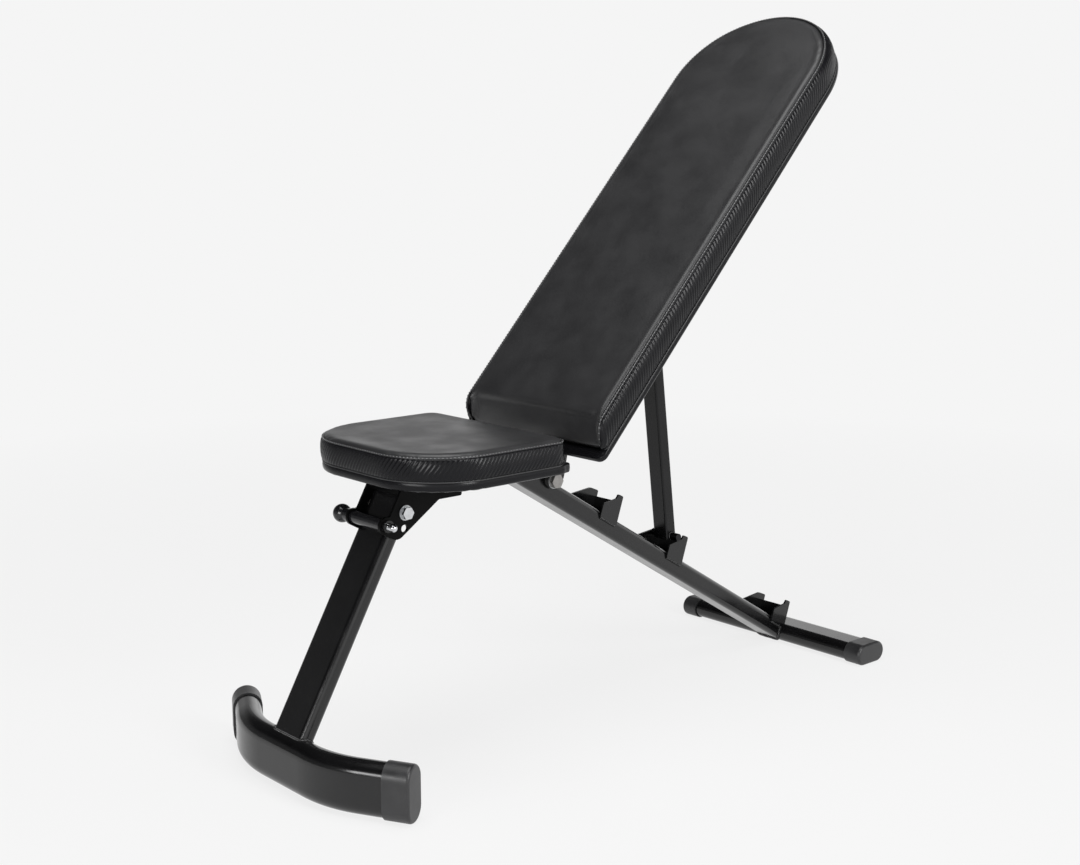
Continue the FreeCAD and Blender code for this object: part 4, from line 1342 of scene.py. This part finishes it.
# ------------------------------------------------------------------ studio
@dataclass(frozen=True)
class Lamp:
    """Soft rectangular lamp: its place, its width and height, and its power in watts."""

    name: str
    place: tuple
    size: tuple
    power: float


@dataclass
class Studio:
    """Pale floor and sweep, soft lamps and the camera."""

    paper: tuple = (0.913, 0.913, 0.913)
    azimuth: float = 48.5
    elevation: float = 10.1
    distance: float = 2.2172
    aim: tuple = (0.0, -0.05996, 0.4154)
    lens: float = 52.83
    shift: float = -0.005
    dark_way: tuple = (-0.747, -0.665, 0.0)
    floor_reach: float = 30.0
    lamps: tuple = (Lamp("lamp_over", (0.2, -0.4, 2.9), (2.2, 2.2), 62),
                    Lamp("lamp_right", (3.2, 0.2, 1.8), (0.9, 1.5), 62),
                    Lamp("lamp_front", (0.8, -3.3, 0.95), (1.7, 0.7), 42))

    def camera(self) -> None:
        """Camera on the near side, a little over the seat."""
        data = bpy.data.cameras.new("camera")
        data.lens = self.lens
        data.shift_y = self.shift
        camera = bpy.data.objects.new("camera", data)
        a, e = math.radians(self.azimuth), math.radians(self.elevation)
        back = Vector((math.sin(a) * math.cos(e), -math.cos(a) * math.cos(e), math.sin(e)))
        camera.location = Vector(self.aim) + back * self.distance
        camera.rotation_mode = "QUATERNION"
        camera.rotation_quaternion = (-back).to_track_quat("-Z", "Y")
        bpy.context.scene.collection.objects.link(camera)
        bpy.context.scene.camera = camera

    def floor(self) -> None:
        """Wide pale floor, which looks like the sweep to the eye and in reflections.

        The share of the paper's glow is 1 to the eye and less in reflections towards the unlit
        end, times a share that rises from 0.88 to 1 away from the bench.
        """
        corners = np.array([(-1, -1, 0), (1, -1, 0), (1, 1, 0), (-1, 1, 0)]) * self.floor_reach
        shader = Shader("floor_paper")
        grain = shader.noise(0.4, 2.0)
        paper = shader.ramp(grain, (0.3, (0.88, 0.88, 0.88)), (0.7, (0.9, 0.9, 0.9)))
        shader.finish(Base_Color=paper, Roughness=0.9)
        glow = shader.node("Emission", Color=(*self.paper, 1), Strength=1.0)
        ray = shader.node("LightPath")
        lit = shader.span(self.toward_dark(shader, shader.place), 1.0, 0.22, 0.95, 1.5)
        mirrored = shader.maths("MULTIPLY", ray.outputs["Is Glossy Ray"], lit)
        seen = shader.maths("MAXIMUM", ray.outputs["Is Camera Ray"], mirrored)
        away = shader.span(shader.vector("LENGTH", shader.place), 0.88, 1.0, 0.9, 2.6)
        shader.mix(shader.maths("MULTIPLY", seen, away), shader.surface.outputs[0],
                   glow.outputs[0], "Material Output")
        surface("floor", corners, [np.array([[0, 1, 2, 3]])], shader.material)

    def toward_dark(self, nodes: Nodes, place: Socket) -> Socket:
        """How far a place or direction lies towards the unlit end of the studio."""
        return nodes.vector("DOT_PRODUCT", place, self.dark_way)

    def sky(self) -> None:
        """Sweep: pale low down and to the eye, dim higher up where the studio is dark.

        The strength runs from bright, away from the unlit end, to dim towards it.
        """
        world = bpy.data.worlds.new("sweep")
        world.use_nodes = True
        nodes = Nodes(world.node_tree)
        way = nodes.node("TexCoord").outputs["Generated"]
        height = nodes.node("SeparateXYZ", way).outputs["Z"]
        lit = nodes.tree.nodes["Background"]
        nodes.put(nodes.ramp(height, (0.27, self.paper), (0.42, (0.04, 0.04, 0.04))),
                  lit.inputs["Color"])
        nodes.put(nodes.span(self.toward_dark(nodes, way), 1.5, 0.2, 0.0, 0.8),
                  lit.inputs["Strength"])
        seen = nodes.node("Background", Color=(*self.paper, 1))
        nodes.mix(nodes.node("LightPath").outputs["Is Camera Ray"], lit.outputs[0],
                  seen.outputs[0], "World Output")
        bpy.context.scene.world = world

    def light(self, lamp: Lamp) -> None:
        """Hang a lamp, and face it to the bench."""
        data = bpy.data.lights.new(lamp.name, "AREA")
        data.shape = "RECTANGLE"
        data.size, data.size_y = lamp.size
        data.energy = lamp.power
        fitting = bpy.data.objects.new(lamp.name, data)
        fitting.location = lamp.place
        fitting.rotation_mode = "QUATERNION"
        facing = Vector(self.aim) - Vector(lamp.place)
        fitting.rotation_quaternion = facing.to_track_quat("-Z", "Y")
        bpy.context.scene.collection.objects.link(fitting)

    def build(self) -> None:
        """Make the camera, floor, sweep and lamps."""
        bpy.context.scene.view_settings.view_transform = "Standard"
        self.camera()
        self.floor()
        self.sky()
        for lamp in self.lamps:
            self.light(lamp)


def main() -> None:
    """Build the bench, sub-assembly by sub-assembly, and its studio."""
    logging.basicConfig(level=logging.INFO, format="%(name)s: %(message)s")
    palette = Palette()
    palette.dress()
    seat_pad(palette).build()
    back_pad(palette).build()
    Welds(palette).build()
    Threads(palette).build()
    PinTip(palette).build()
    Studio().build()


if __name__ == "__main__":
    main()
